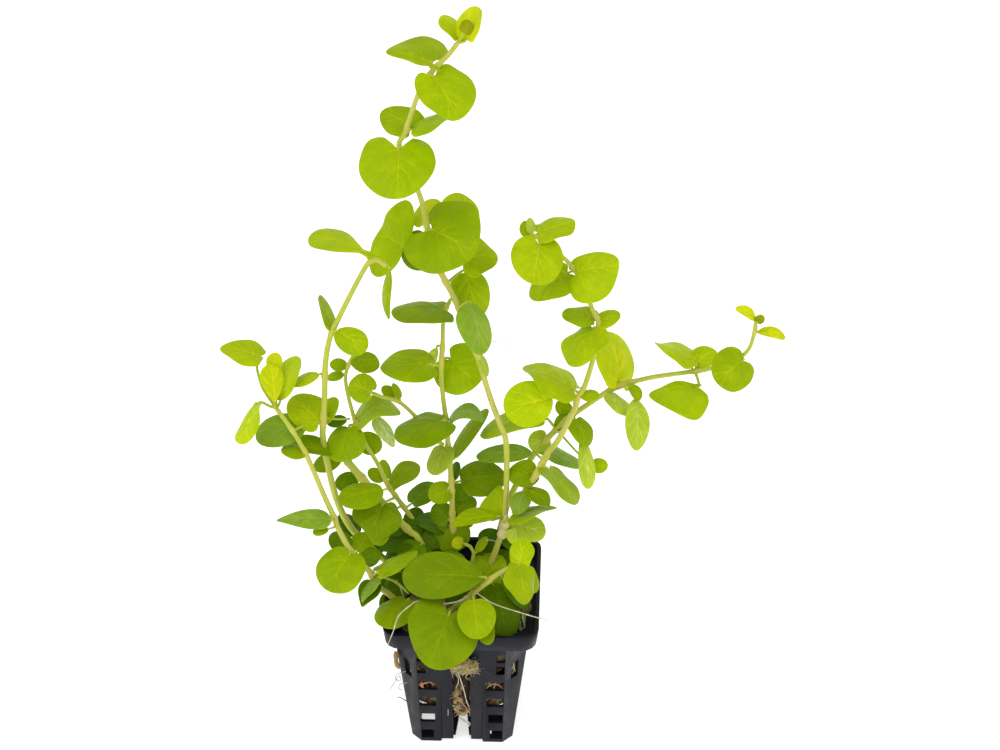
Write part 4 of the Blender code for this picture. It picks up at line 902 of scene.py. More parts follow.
def plug_point(angle, level, out=0.0):
    """A point of the plug's skin at an angle round it and a level from 0 at its foot to 1 at its top.

    The plan is a superellipse |x|^5 + |y|^5 = 1 times half the plug's width. The level climbs from
    the middle of the foot to its edge, up the side, and in to the middle of the top.
    """
    level = np.asarray(level, float)
    heights = [PLUG_FOOT + 1, PLUG_FOOT, PLUG_FOOT + 3, PLUG_TOP - 1.2, PLUG_TOP, PLUG_TOP]
    height = np.interp(level, [0, 0.12, 0.2, 0.8, 0.88, 1], heights)
    inwards = np.interp(level, [0, 0.12, 0.2, 0.7, 0.8, 0.88, 1], [0, 0.86, 0.985, 0.985, 0.94, 0.86, 0])
    plan = 1 / (np.abs(np.cos(angle)) ** 5 + np.abs(np.sin(angle)) ** 5) ** 0.2
    reach = (front_depth(height) - WALL - PLUG_CLEARANCE) * plan * inwards + out
    return np.stack([reach * np.cos(angle), reach * np.sin(angle), height + 0 * reach], -1)


def wool_tan_with_painted_shade(height, spread):
    """Dark maroon painted shade in the wool's hollows, and tan lightened as painted light on its lumps, by
    how far a point stands out.
    """
    part = np.clip(0.5 + 0.5 * height / spread, 0, 1)[:, None]
    part = part ** 2 * (3 - 2 * part)
    return WOOL_PAINTED_SHADE * (1 - part) + WOOL_TAN_AND_PAINTED_LIGHT * part


def slot_shadow(points):
    """1 where the front slot's wool is hollow and darkened with painted shadow, at its top and down its
    right side, else 0.
    """
    right = np.clip((points[:, 0] - 0.1 - 0.5 * np.sin(points[:, 2])) / 0.7 + 0.5, 0, 1)
    top = np.clip((points[:, 2] - 27.5 - 1.5 * points[:, 0]) / 2 + 0.5, 0, 1)
    foot = np.clip((points[:, 2] - 14.5) / 2, 0, 1)
    return np.maximum(right, top) * foot


def wool_lump(middle, half, seed, rough):
    """A closed lump of wool on the pot's front face: a superellipsoid with waves on it.

    In the lump's own space the point at angles (u, v) is (a cos^e v cos^e u, b cos^e v sin^e u,
    c sin^e v) with e = 0.55, and it leans as the pot's face does.
    """
    rounds, levels = 90, 60
    u = np.linspace(0, 2 * math.pi, rounds, endpoint=False)[:, None]
    v = np.linspace(-math.pi / 2, math.pi / 2, levels)[None, :]
    bent = [np.sign(wave) * np.abs(wave) ** 0.55 for wave in (np.cos(u), np.sin(u), np.cos(v), np.sin(v))]
    flat = np.stack([half[0] * bent[2] * bent[0], half[2] * bent[2] * bent[1],
                     half[1] * bent[3] + 0 * bent[0]], -1).reshape(-1, 3)
    height = wavy(flat, lumps(seed, 16, 3.2, rough))
    outwards = unit(flat / np.array([half[0], half[2], half[1]]) ** 2)
    flat = flat + outwards * height[:, None]
    up = flat[:, 2] + middle[1]
    points = np.stack([flat[:, 0] + middle[0], flat[:, 1] - front_depth(up) - middle[2], up], -1)
    points, triangles, order = closed_grid(points, rounds, levels)
    # Painted shade: dark maroon where the lump's waves dip, tan where they stand out
    tint = wool_tan_with_painted_shade(height, 1.6 * rough)[order]
    if middle == TONGUE[0]:
        # On the tongue, painted shadow darkens the slot's top and right side, where the wool is also pushed
        # in
        hollow = slot_shadow(points)
        points[:, 1] += SLOT_HOLLOW * hollow * (points[:, 1] < -front_depth(points[:, 2]) + 1.5)
        tint = tint * (1 - hollow[:, None]) + 0.4 * WOOL_PAINTED_SHADE * hollow[:, None]
    return points, triangles, dict(tint=tint)


def closed_grid(points, rounds, levels):
    """Points laid round by round from one pole to the other, with each pole's points made one."""
    number = np.arange(rounds * levels).reshape(rounds, levels)
    order = np.concatenate([number[:, 1:-1].ravel(), [0, levels - 1]])
    inner = rounds * (levels - 2)
    index = np.arange(inner).reshape(rounds, levels - 2)
    index = np.hstack([np.full((rounds, 1), inner), index, np.full((rounds, 1), inner + 1)])
    index = np.vstack([index, index[:1]])
    return points[order], grid_triangles(index), order


def fibres(starts, directions, lengths, radius, draw, curl=0.35, rings=6, sides=3):
    """Many thin tubes as one set: each runs from its start along its direction and curls sideways.

    A fibre's middle is start + L u direction + L (bend u^2 side + twist sin(pi u) / 2 other), with u
    from 0 to 1 and a random bend and twist of up to the curl.
    """
    count = len(starts)
    u = np.linspace(0, 1, rings)[None, :, None]
    side = unit(np.cross(directions, draw.normal(size=(count, 3))))
    other = np.cross(directions, side)
    lengths = np.broadcast_to(lengths, (count,))[:, None, None]
    bend = curl * draw.uniform(-1, 1, (count, 1, 1))
    twist = curl * draw.uniform(-1, 1, (count, 1, 1))
    middle = starts[:, None] + lengths * (u * directions[:, None] + bend * u ** 2 * side[:, None]
                                          + twist * np.sin(math.pi * u) * 0.5 * other[:, None])
    angle = np.linspace(0, 2 * math.pi, sides, endpoint=False)
    thin = radius * np.sin(math.pi * (0.12 + 0.8 * u[..., None])) ** 0.5
    around = np.cos(angle)[:, None] * side[:, None, None] + np.sin(angle)[:, None] * other[:, None, None]
    skin = middle[:, :, None] + thin * around
    points = skin.reshape(-1, 3)
    index = np.arange(count * rings * sides).reshape(count, rings, sides)
    index = np.concatenate([index, index[:, :, :1]], axis=2)
    a, b, c, d = index[:, :-1, :-1], index[:, 1:, :-1], index[:, 1:, 1:], index[:, :-1, 1:]
    cells = [np.stack([a, c, b], -1).reshape(-1, 3), np.stack([a, d, c], -1).reshape(-1, 3)]
    cells.append(index[:, 0, :3])
    cells.append(index[:, -1, 2::-1])
    return points, np.vstack(cells)


def feed(tree, socket, value):
    """Links another node's output to a socket, or sets the socket's own value."""
    if isinstance(value, bpy.types.NodeSocket):
        tree.links.new(value, socket)
    else:
        socket.default_value = value


def new_node(tree, kind, inputs=None, **settings):
    """A shader node with its settings made and its inputs linked or set."""
    made = tree.nodes.new(kind)
    for key, value in settings.items():
        setattr(made, key, value)
    for key, value in (inputs or {}).items():
        feed(tree, made.inputs[key], value)
    return made


def math_node(tree, operation, first, second=0.0):
    """A Math node's output."""
    return new_node(tree, "ShaderNodeMath", {0: first, 1: second}, operation=operation).outputs[0]


def times(tree, first, second):
    """The product of two values."""
    return math_node(tree, "MULTIPLY", first, second)


def attribute_of(tree, name, output):
    """The output of that name of a mesh attribute."""
    return new_node(tree, "ShaderNodeAttribute", attribute_name=name).outputs[output]


def mix_colour(tree, factor, first, second, blend="MIX"):
    """The output of a Mix node for colours."""
    made = new_node(tree, "ShaderNodeMix", data_type="RGBA", blend_type=blend)
    feed(tree, made.inputs[0], factor)
    for key, value in ((6, first), (7, second)):
        feed(tree, made.inputs[key], value if isinstance(value, bpy.types.NodeSocket) else (*value, 1.0))
    return made.outputs[2]


def stretch(tree, value, low, high, to_low=0.0, to_high=1.0):
    """A Map Range node's output, smooth between its ends."""
    return new_node(tree, "ShaderNodeMapRange", {0: value, 1: low, 2: high, 3: to_low, 4: to_high},
                    interpolation_type="SMOOTHSTEP").outputs[0]


def new_group(name, sockets):
    """A shader node group with named inputs and outputs: each socket is (name, IN or OUT, type, default)."""
    tree = bpy.data.node_groups.new(name, "ShaderNodeTree")
    for label, way, kind, default in sockets:
        socket = tree.interface.new_socket(label, in_out=way + "PUT", socket_type="NodeSocket" + kind)
        if default is not None:
            socket.default_value = default
    return tree, new_node(tree, "NodeGroupInput"), new_node(tree, "NodeGroupOutput")


def use_group(tree, name, **values):
    """Places a group in a material; a value's underscores stand for the spaces in its input's name."""
    made = new_node(tree, "ShaderNodeGroup", node_tree=bpy.data.node_groups[name])
    for key, value in values.items():
        feed(tree, made.inputs[key.replace("_", " ")], value)
    return made


def make_mottle_group():
    """Mottle: a mask of soft patches with finer specks in them, for any surface on Object coordinates."""
    tree, inside, out = new_group("Mottle", [
        ("Scale", "IN", "Float", 300.0), ("Sharpness", "IN", "Float", 0.5),
        ("Patches", "OUT", "Float", None), ("Specks", "OUT", "Float", None),
    ])
    where = new_node(tree, "ShaderNodeTexCoord").outputs["Object"]
    broad = new_node(tree, "ShaderNodeTexNoise", {"Vector": where, "Scale": inside.outputs["Scale"],
                                                  "Detail": 3.0, "Roughness": 0.6}).outputs[0]
    finer = times(tree, inside.outputs["Scale"], 5.0)
    fine = new_node(tree, "ShaderNodeTexNoise", {"Vector": where, "Scale": finer, "Detail": 2.0}).outputs[0]
    half = times(tree, inside.outputs["Sharpness"], 0.3)
    threshold = 0.66
    low = math_node(tree, "SUBTRACT", threshold, half)
    low = math_node(tree, "SUBTRACT", low, 0.25)
    high = math_node(tree, "SUBTRACT", threshold, times(tree, half, 0.3))
    tree.links.new(stretch(tree, broad, low, high), out.inputs["Patches"])
    tree.links.new(stretch(tree, fine, 0.42, 0.68), out.inputs["Specks"])


def make_vein_group():
    """Leaf veins: a midrib, and veins that leave it one after the other and bend towards the tip.

    The blade attribute holds x and y from the leaf's base and its length, in mm. The vein through a
    point leaves the midrib at s, as in vein_place, and the distance to the vein that leaves at S is
    |s - S| (L + b |x|) / sqrt(1 + (a + b s)^2).
    """
    tree, inside, out = new_group("Leaf veins", [
        ("Blade", "IN", "Vector", None), ("Width", "IN", "Float", 0.3),
        ("Lines", "OUT", "Float", None), ("Net", "OUT", "Float", None),
    ])
    lead, turn, curve = VEIN_COURSE
    parts = new_node(tree, "ShaderNodeSeparateXYZ", {0: inside.outputs["Blade"]})
    x = math_node(tree, "ABSOLUTE", parts.outputs[0])
    y, length = parts.outputs[1], parts.outputs[2]
    square = math_node(tree, "DIVIDE", times(tree, x, x), length)
    risen = math_node(tree, "SUBTRACT", y, times(tree, x, lead))
    risen = math_node(tree, "SUBTRACT", risen, times(tree, square, curve))
    span = math_node(tree, "ADD", length, times(tree, x, turn))
    where = new_node(tree, "ShaderNodeTexCoord").outputs["Object"]
    noise = new_node(tree, "ShaderNodeTexNoise", {"Vector": where, "Scale": 190.0, "Detail": 1.0}).outputs[0]
    wobble = times(tree, math_node(tree, "SUBTRACT", noise, 0.5), 0.09)
    place = math_node(tree, "ADD", math_node(tree, "DIVIDE", risen, span), wobble)
    slope = math_node(tree, "ADD", times(tree, place, turn), lead)
    steep = math_node(tree, "SQRT", math_node(tree, "ADD", times(tree, slope, slope), 1.0))
    scale = math_node(tree, "DIVIDE", span, steep)
    out_share = math_node(tree, "DIVIDE", x, length)
    fade = stretch(tree, out_share, 0.03, 0.5, 0.75, 0.12)
    fade = times(tree, fade, stretch(tree, noise, 0.34, 0.6, 0.45, 1.0))
    lines = None
    for start in VEIN_STARTS:
        gap = math_node(tree, "ABSOLUTE", math_node(tree, "SUBTRACT", place, start))
        line = stretch(tree, times(tree, gap, scale), 0.02, inside.outputs["Width"], 1.0, 0.0)
        lines = line if lines is None else math_node(tree, "MAXIMUM", lines, line)
    lines = times(tree, lines, fade)
    rib_width = times(tree, inside.outputs["Width"], 1.25)
    rib = stretch(tree, x, 0.04, rib_width, 1.0, 0.0)
    along = math_node(tree, "DIVIDE", y, length)
    rib = times(tree, rib, stretch(tree, along, 0.45, 1.0, 1.0, 0.2))
    tree.links.new(math_node(tree, "MAXIMUM", lines, rib), out.inputs["Lines"])
    cells = new_node(tree, "ShaderNodeTexVoronoi", {"Vector": where, "Scale": 850.0},
                     feature="DISTANCE_TO_EDGE").outputs[0]
    tree.links.new(stretch(tree, cells, 0.0, 0.14, 1.0, 0.0), out.inputs["Net"])


def new_material(name, colour, roughness, **values):
    """A material, its tree and its Principled shader; a value's underscores stand for spaces."""
    made = bpy.data.materials.new(name)
    made.use_nodes = True
    shader = made.node_tree.nodes["Principled BSDF"]
    shader.inputs["Base Color"].default_value = (*colour, 1.0)
    shader.inputs["Roughness"].default_value = roughness
    for key, value in values.items():
        shader.inputs[key.replace("_", " ")].default_value = value
    made.diffuse_color = (*colour, 1.0)
    return made, made.node_tree, shader


def bump(tree, shader, height, strength, distance):
    """Feeds a height into the shader's normal."""
    made = new_node(tree, "ShaderNodeBump", {"Height": height, "Strength": strength, "Distance": distance})
    tree.links.new(made.outputs[0], shader.inputs["Normal"])


def leaf_material():
    """Leaf: the leaf's tint, darker in soft patches, paler along the veins and the net between them."""
    made, tree, shader = new_material(
        "leaf skin", TONES["bright"][0], 0.45, Specular_IOR_Level=0.06, Subsurface_Weight=0.2,
        Subsurface_Radius=(0.8, 1.0, 0.08), Subsurface_Scale=0.001)
    tint = attribute_of(tree, "tint", "Color")
    blade = attribute_of(tree, "blade", "Vector")
    veins = use_group(tree, "Leaf veins", Blade=blade, Width=0.3)
    mottle = use_group(tree, "Mottle", Scale=140.0, Sharpness=0.5)
    fine = use_group(tree, "Mottle", Scale=900.0, Sharpness=0.3)
    patches = times(tree, mottle.outputs["Patches"], 0.6)
    colour = mix_colour(tree, patches, tint, (0.66, 0.76, 0.5), "MULTIPLY")
    specks = times(tree, fine.outputs["Patches"], 0.2)
    colour = mix_colour(tree, specks, colour, (0.72, 0.8, 0.5), "MULTIPLY")
    net = times(tree, veins.outputs["Net"], 0.3)
    colour = mix_colour(tree, net, colour, (1.22, 1.14, 1.3), "MULTIPLY")
    colour = mix_colour(tree, veins.outputs["Lines"], colour, (1.45, 1.26, 4.0), "MULTIPLY")
    tree.links.new(colour, shader.inputs["Base Color"])
    rough = stretch(tree, mottle.outputs["Specks"], 0.0, 1.0, 0.36, 0.5)
    tree.links.new(rough, shader.inputs["Roughness"])
    relief = times(tree, fine.outputs["Specks"], 0.35)
    relief = math_node(tree, "SUBTRACT", relief, veins.outputs["Lines"])
    bump(tree, shader, relief, 0.35, 0.0002)
    return made


def stem_material():
    """Stem: the stem's tint with fine darker flecks, slightly glossy."""
    made, tree, shader = new_material(
        "stem skin", STEM_TINT, 0.4, Specular_IOR_Level=0.25, Subsurface_Weight=0.2,
        Subsurface_Radius=(1.0, 0.9, 0.3), Subsurface_Scale=0.001)
    tint = attribute_of(tree, "tint", "Color")
    mottle = use_group(tree, "Mottle", Scale=420.0, Sharpness=0.4)
    patches = times(tree, mottle.outputs["Patches"], 0.3)
    colour = mix_colour(tree, patches, tint, (0.74, 0.74, 0.4), "MULTIPLY")
    tree.links.new(colour, shader.inputs["Base Color"])
    bump(tree, shader, mottle.outputs["Specks"], 0.25, 0.0001)
    return made


def plastic_material():
    """Black plastic: a fine moulded grain and dull patches."""
    made, tree, shader = new_material("moulded plastic", linear(26, 27, 33), 0.34, Specular_IOR_Level=0.12)
    mottle = use_group(tree, "Mottle", Scale=160.0, Sharpness=0.5)
    grain = use_group(tree, "Mottle", Scale=1300.0, Sharpness=0.2)
    dull = times(tree, mottle.outputs["Patches"], 0.4)
    colour = mix_colour(tree, dull, linear(22, 23, 30), linear(38, 39, 46))
    tree.links.new(colour, shader.inputs["Base Color"])
    rough = stretch(tree, mottle.outputs["Patches"], 0.0, 1.0, 0.24, 0.42)
    tree.links.new(rough, shader.inputs["Roughness"])
    bump(tree, shader, grain.outputs["Specks"], 0.18, 0.0001)
    return made


def wool_material():
    """Mineral wool: the tint attribute, which holds the tan with painted light and the maroon painted shade,
    with fine dark pores and streaks, quite matt.
    """
    made, tree, shader = new_material("mineral wool", WOOL_TAN_AND_PAINTED_LIGHT, 0.95)
    tint = attribute_of(tree, "tint", "Color")
    broad = use_group(tree, "Mottle", Scale=330.0, Sharpness=0.8)
    fine = use_group(tree, "Mottle", Scale=1100.0, Sharpness=0.8)
    patches = times(tree, broad.outputs["Patches"], 0.5)
    colour = mix_colour(tree, patches, tint, (0.5, 0.4, 0.3), "MULTIPLY")
    specks = times(tree, fine.outputs["Specks"], 0.5)
    colour = mix_colour(tree, specks, colour, (0.45, 0.36, 0.28), "MULTIPLY")
    tree.links.new(colour, shader.inputs["Base Color"])
    bump(tree, shader, fine.outputs["Patches"], 0.8, 0.0006)
    return made


def plain_material(name, colour, roughness):
    """A surface of one colour with soft mottles: roots and fibres."""
    made, tree, shader = new_material(name, colour, roughness)
    mottle = use_group(tree, "Mottle", Scale=500.0, Sharpness=0.6)
    patches = times(tree, mottle.outputs["Patches"], 0.5)
    shaded = mix_colour(tree, patches, colour, tuple(0.55 * colour))
    tree.links.new(shaded, shader.inputs["Base Color"])
    bump(tree, shader, mottle.outputs["Specks"], 0.3, 0.0001)
    return made


# Finishes of one colour: colour and roughness
PLAIN_FINISHES = {
    "straw fibre": (linear(228, 214, 158), 0.8),
    "brown fibre": (linear(78, 50, 34), 0.8),
    "root skin": (linear(238, 232, 200), 0.5),
    "grey root": (linear(176, 174, 160), 0.7),
    "joint skin": (linear(242, 230, 156), 0.5),
    "film": (linear(214, 216, 218), 0.4),
    "rust": (linear(206, 128, 84), 0.6),
    "pink": (linear(206, 150, 138), 0.6),
    "bract": (linear(190, 150, 96), 0.8),
}

# Finishes with a shader of their own
MAKERS = {
    "leaf skin": leaf_material,
    "stem skin": stem_material,
    "moulded plastic": plastic_material,
    "mineral wool": wool_material,
}


def finish_of(name):
    """The material of that name, made the first time that it is asked for."""
    if not bpy.data.node_groups.get("Mottle"):
        make_mottle_group()
        make_vein_group()
    made = bpy.data.materials.get(name)
    if made:
        return made
    return MAKERS[name]() if name in MAKERS else plain_material(name, *PLAIN_FINISHES[name])


def place(piece, slot, *nodes):
    """Rides the piece on the part's one body and hides the CAD nodes that it stands for; slot is not used.
    """
    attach(piece, "root")
    if nodes:
        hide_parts(*nodes)


class JennyPotSettings(bpy.types.PropertyGroup):
    """The pot's edges."""

    edge: bpy.props.FloatProperty(
        name="Edge radius", description="Radius of the moulded edges", default=0.28 * MM, unit="LENGTH")
    edge_steps: bpy.props.IntProperty(
        name="Edge steps", description="Steps across each rounded edge", default=2, min=1, max=4)


class JennyPlantSettings(bpy.types.PropertyGroup):
    """The leaves and the wool."""

    waviness: bpy.props.FloatProperty(
        name="Waviness", description="Height of the waves at a leaf's edge over its width", default=0.02,
        subtype="FACTOR")
    fibres: bpy.props.IntProperty(
        name="Wool fibres", description="How many loose fibres stand on the plug", default=2600,
        min=0, max=6000)
    roots: bpy.props.IntProperty(
        name="Fine roots", description="How many fine roots run through the plug", default=90,
        min=0, max=400)


class JennyStageSettings(bpy.types.PropertyGroup):
    """The floor and the light."""

    floor: bpy.props.FloatVectorProperty(
        name="Floor", description="Colour of the floor", default=(0.92, 0.92, 0.92), subtype="COLOR")
    glow: bpy.props.FloatProperty(
        name="Glow", description="Light that the floor gives off, which keeps it white", default=0.6)
    key: bpy.props.FloatProperty(
        name="Key light", description="Power of the large light above", default=2.7, unit="POWER")
    sky: bpy.props.FloatProperty(
        name="Sky", description="Brightness of the light from all round", default=0.68)


class JENNY_OT_net_pot(bpy.types.Operator):
    """Rounds the edges of the net pot and gives it its plastic"""

    bl_idname = "jenny.net_pot"
    bl_label = "Net Pot"

    def execute(self, context):
        settings = context.scene.jenny_pot
        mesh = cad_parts["net_pot"].data.copy()
        mesh.name = "pot_shell"
        shape = bmesh.new()
        shape.from_mesh(mesh)
        bmesh.ops.remove_doubles(shape, verts=shape.verts, dist=0.01 * MM)
        bmesh.ops.dissolve_limit(shape, angle_limit=math.radians(1.0), verts=shape.verts, edges=shape.edges)
        shape.to_mesh(mesh)
        shape.free()
        mesh.materials.clear()
        mesh.materials.append(finish_of("moulded plastic"))
        pot = bpy.data.objects.new("pot_shell", mesh)
        context.scene.collection.objects.link(pot)
        mesh.polygons.foreach_set("use_smooth", np.ones(len(mesh.polygons), bool))
        rounding = pot.modifiers.new("Rounded edges", "BEVEL")
        rounding.width = settings.edge
        rounding.segments = settings.edge_steps
        rounding.limit_method = "ANGLE"
        rounding.angle_limit = math.radians(28)
        rounding.harden_normals = True
        place(pot, "pot", "net_pot")
        return {"FINISHED"}


class JENNY_OT_rock_wool(bpy.types.Operator):
    """Makes the rock wool plug: a lumpy block with loose fibres on it"""

    bl_idname = "jenny.rock_wool"
    bl_label = "Rock Wool"

    def execute(self, context):
        rounds, levels = 180, 120
        angle = np.linspace(0, 2 * math.pi, rounds, endpoint=False)[:, None]
        flat = plug_point(angle, np.linspace(0, 1, levels)[None, :]).reshape(-1, 3)
        height = wavy(flat, lumps(11, 16, 6.0, 0.2))
        middle = np.array([0, 0, (PLUG_FOOT + PLUG_TOP) / 2])
        flat = flat + unit(flat - middle) * (height - 0.3)[:, None]
        points, triangles, order = closed_grid(flat, rounds, levels)
        # Painted light and shade: the block's tint is raised 1.4 times to lighten the wool that the pot
        # shades, and its hollows get maroon painted shade
        block = points, triangles, dict(tint=1.4 * wool_tan_with_painted_shade(height, 0.34)[order])
        slot_wool = wool_lump(*TONGUE, 31, 0.22)
        tuft = wool_lump(*TUFT, 37, 0.3)
        whole = put_mesh("wool_block", joined([block, slot_wool, tuft]), finish_of("mineral wool"))
        place(whole, "wool", "rockwool_plug")
        draw = np.random.default_rng(23)
        count = context.scene.jenny_plant.fibres
        starts = plug_point(draw.uniform(0, 2 * math.pi, count), draw.uniform(0.14, 0.97, count), -0.9)
        away = unit(starts - middle)
        directions = unit(draw.normal(size=(count, 3)) + 0.25 * away)
        directions = unit(directions - 0.8 * away * (directions * away).sum(1, keepdims=True))
        for first, (name, radius) in enumerate((("straw fibre", 0.07), ("brown fibre", 0.08))):
            chosen = slice(first, None, 2)
            size = draw.uniform(1.8, 4.6, count)[chosen]
            strands = [fibres(starts[chosen], directions[chosen], size, radius, draw)]
            for lump, share in zip((TONGUE, TUFT), FRONT_FIBRES[name]):
                strands.append(self.front_fibres(lump, draw, share))
            strands = joined([(*strand, {}) for strand in strands])
            place(put_mesh(name.replace(" ", "_") + "s", strands, finish_of(name)), "wool")
        return {"FINISHED"}

    def front_fibres(self, lump, draw, count):
        """Fibres that lie on the outer side of a lump on the pot's front face, or stand off it a little."""
        (across, up, out), half = lump
        x, z = draw.uniform(-1, 1, (2, count))
        bulge = np.sqrt(np.clip(1 - np.abs(x) ** 4, 0, 1)) * np.sqrt(np.clip(1 - np.abs(z) ** 4, 0, 1))
        height = up + half[1] * z
        depth = -front_depth(height) - out - half[2] * (bulge - 0.15)
        starts = np.stack([across + 0.9 * half[0] * x, depth, height], -1)
        sideways = 0.5 * x + draw.normal(0, 0.45, count)
        outwards = -draw.uniform(0, 0.4, count)
        upwards = 0.6 + draw.normal(0, 0.8, count)
        directions = unit(np.stack([sideways, outwards, upwards], -1))
        size = draw.uniform(0.8, 2.2, count)
        if lump is TONGUE:
            starts[:, 1] += SLOT_HOLLOW * slot_shadow(starts)
            size = size * (1 - 0.8 * slot_shadow(starts))
        return fibres(starts, directions, size, 0.055, draw, curl=0.5)


class JENNY_OT_stems(bpy.types.Operator):
    """Makes the stems, with their joints"""

    bl_idname = "jenny.stems"
    bl_label = "Stems"

    def execute(self, context):
        draw = np.random.default_rng(5)
        for name, shoot in SHOOTS.items():
            surface = stem_surface(shoot, draw.uniform(0, 2 * math.pi, 6), STEM_BLUSH.get(name, USUAL_BLUSH))
            place(put_mesh(f"{name}_skin", surface, finish_of("stem skin")), "stem", name)
        return {"FINISHED"}


class JENNY_OT_leaves(bpy.types.Operator):
    """Makes every leaf: the large ones as pieces of their own, the small ones as one piece a shoot"""

    bl_idname = "jenny.leaves"
    bl_label = "Leaves"

    def execute(self, context):
        settings = context.scene.jenny_plant
        draw = np.random.default_rng(17)
        for name, shoot in SHOOTS.items():
            path = fine_path(shoot)
            plain = name.replace("_stem", "").replace("_shoot", "")
            small = []
            large = 0
            for number, row in enumerate(shoot["leaves"] + FILLING_LEAVES.get(name, ())):
                numbers = draw.uniform(0, 2 * math.pi, 8)
                if number not in OWN_LEAVES.get(name, ()):
                    small.append(leaf_surface(row, path, SMALL_GRID, numbers, settings))
                    continue
                large += 1
                surface = leaf_surface(row, path, LARGE_GRID, numbers, settings)
                node = f"{plain}_leaf_{large:02d}"
                place(put_mesh(f"{node}_blade", surface, finish_of("leaf skin")), "leaf", node)
            if small:
                place(put_mesh(f"{plain}_small_leaves", joined(small), finish_of("leaf skin")), "leaf")
        return {"FINISHED"}


class JENNY_OT_roots(bpy.types.Operator):
    """Makes the aerial roots, a thin runner, the hairs, the dry scraps and the fine roots in the pot"""

    bl_idname = "jenny.roots"
    bl_label = "Roots"

    def execute(self, context):
        draw = np.random.default_rng(41)
        strands = {}
        for finder, table in ((seen, THREADS), (on_front, FRONT_STRANDS)):
            for finish, radius, points in table:
                course = smooth_path([finder(*point) for point in points], 0.5)
                run = run_length(course)
                radii = radius * (1 + 0.15 * np.sin(run * 1.7))
                radii = radii * np.interp(run, [0, 0.8 * run[-1], run[-1]], [1, 0.85, 0.35])
                strands.setdefault(finish, []).append((*tube(course, radii, 8, NEAR), {}))
        count = context.scene.jenny_plant.roots
        starts = plug_point(draw.uniform(0, 2 * math.pi, count), draw.uniform(0.16, 0.8, count), -0.2)
        away = unit(starts * np.array([1, 1, 0]))
        sideways = np.cross(away, [0, 0, 1.0]) * draw.uniform(-0.9, 0.9, (count, 1))
        down = unit(sideways - [0, 0, 1] + 0.04 * away)
        fine = fibres(starts, down, draw.uniform(3, 8, count), 0.14, draw, curl=0.25, rings=14, sides=5)
        strands["root skin"].append((*fine, {}))
        for finish, pieces in strands.items():
            points, triangles, extras = joined(pieces)
            if finish == "stem skin":
                extras = dict(tint=np.tile(STEM_TINT, (len(points), 1)))
            surface = points, triangles, extras
            place(put_mesh(finish.replace(" ", "_") + "_strands", surface, finish_of(finish)), "stem")
        return {"FINISHED"}


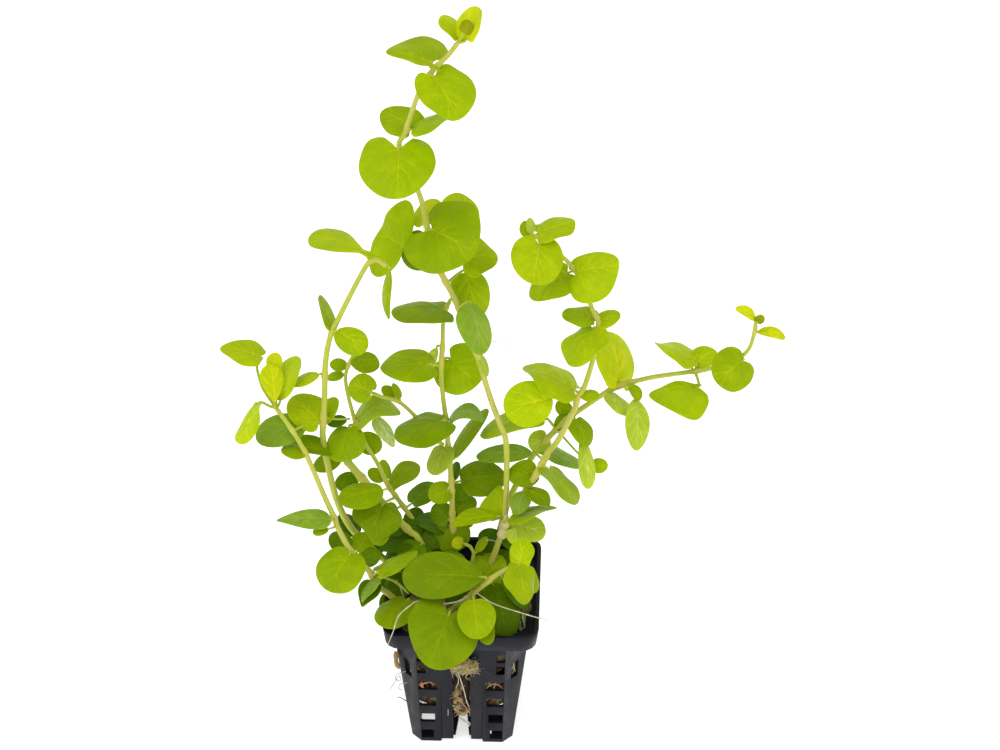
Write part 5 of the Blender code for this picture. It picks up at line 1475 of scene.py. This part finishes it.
class JENNY_OT_stage(bpy.types.Operator):
    """Makes the floor, the soft light and the camera"""

    bl_idname = "jenny.stage"
    bl_label = "Stage"

    def execute(self, context):
        settings = context.scene.jenny_stage
        scene = context.scene
        side, under = 3000.0, -0.05
        corners = [[-side, -side, under], [side, -side, under], [side, side, under], [-side, side, under]]
        white = (1, 1, 1, 1)
        finish, _, _ = new_material(
            "floor", settings.floor, 0.9, Emission_Color=white, Emission_Strength=settings.glow)
        floor = put_mesh("floor", (np.array(corners), np.array([[0, 1, 2], [0, 2, 3]]), {}), finish)
        world = bpy.data.worlds.new("studio")
        world.use_nodes = True
        sky = world.node_tree.nodes["Background"]
        sky.inputs["Color"].default_value = white
        sky.inputs["Strength"].default_value = settings.sky
        scene.world = world
        for name, spot, size, power in (
            ("key_light", (-0.35, -0.35, 0.9), 0.7, settings.key),
            ("side_light", (0.8, -0.2, 0.5), 0.6, 0.42 * settings.key),
        ):
            lamp = bpy.data.lights.new(name, "AREA")
            lamp.size = size
            lamp.energy = power
            thing = bpy.data.objects.new(name, lamp)
            scene.collection.objects.link(thing)
            thing.location = spot
            aim = -np.array(spot) + np.array([0, 0, 0.1])
            thing.rotation_euler = mathutils.Vector(aim).to_track_quat("-Z", "Y").to_euler()
        camera = bpy.data.objects.new("camera", bpy.data.cameras.new("camera"))
        scene.collection.objects.link(camera)
        camera.data.sensor_width = SENSOR_WIDTH
        camera.data.lens = SENSOR_WIDTH * PICTURE_SCALE * EYE_DISTANCE / PICTURE_WIDTH
        camera.data.clip_end = 50
        turn = np.eye(4)
        turn[:3, 0], turn[:3, 1], turn[:3, 2], turn[:3, 3] = ACROSS, UP, NEAR, EYE * MM
        camera.matrix_world = mathutils.Matrix(turn)
        scene.camera = camera
        scene.view_settings.view_transform = "Standard"
        return {"FINISHED"}


class JENNY_PT_panel(bpy.types.Panel):
    """Lists the makers of the plant's pieces"""

    bl_label = "Creeping Jenny"
    bl_idname = "JENNY_PT_panel"
    bl_space_type = "VIEW_3D"
    bl_region_type = "UI"
    bl_category = "Creeping Jenny"

    def draw(self, context):
        layout = self.layout
        for operator in OPERATORS:
            layout.operator(operator.bl_idname)
        for group, names in SHOWN_SETTINGS.items():
            for name in names:
                layout.prop(getattr(context.scene, group), name)


OPERATORS = (
    JENNY_OT_stage,
    JENNY_OT_net_pot,
    JENNY_OT_rock_wool,
    JENNY_OT_stems,
    JENNY_OT_leaves,
    JENNY_OT_roots,
)
SETTINGS = {
    "jenny_pot": JennyPotSettings,
    "jenny_plant": JennyPlantSettings,
    "jenny_stage": JennyStageSettings,
}
SHOWN_SETTINGS = {
    "jenny_pot": ("edge", "edge_steps"),
    "jenny_plant": ("waviness", "fibres", "roots"),
    "jenny_stage": ("floor", "glow", "key", "sky"),
}


def register():
    for group in SETTINGS.values():
        bpy.utils.register_class(group)
    for name, group in SETTINGS.items():
        setattr(bpy.types.Scene, name, bpy.props.PointerProperty(type=group))
    for operator in OPERATORS:
        bpy.utils.register_class(operator)
    bpy.utils.register_class(JENNY_PT_panel)


def unregister():
    bpy.utils.unregister_class(JENNY_PT_panel)
    for operator in reversed(OPERATORS):
        bpy.utils.unregister_class(operator)
    for name in SETTINGS:
        delattr(bpy.types.Scene, name)
    for group in reversed(list(SETTINGS.values())):
        bpy.utils.unregister_class(group)


def main():
    register()
    bpy.ops.jenny.stage()
    bpy.ops.jenny.net_pot()
    bpy.ops.jenny.rock_wool()
    bpy.ops.jenny.stems()
    bpy.ops.jenny.leaves()
    bpy.ops.jenny.roots()


if __name__ == "__main__":
    main()
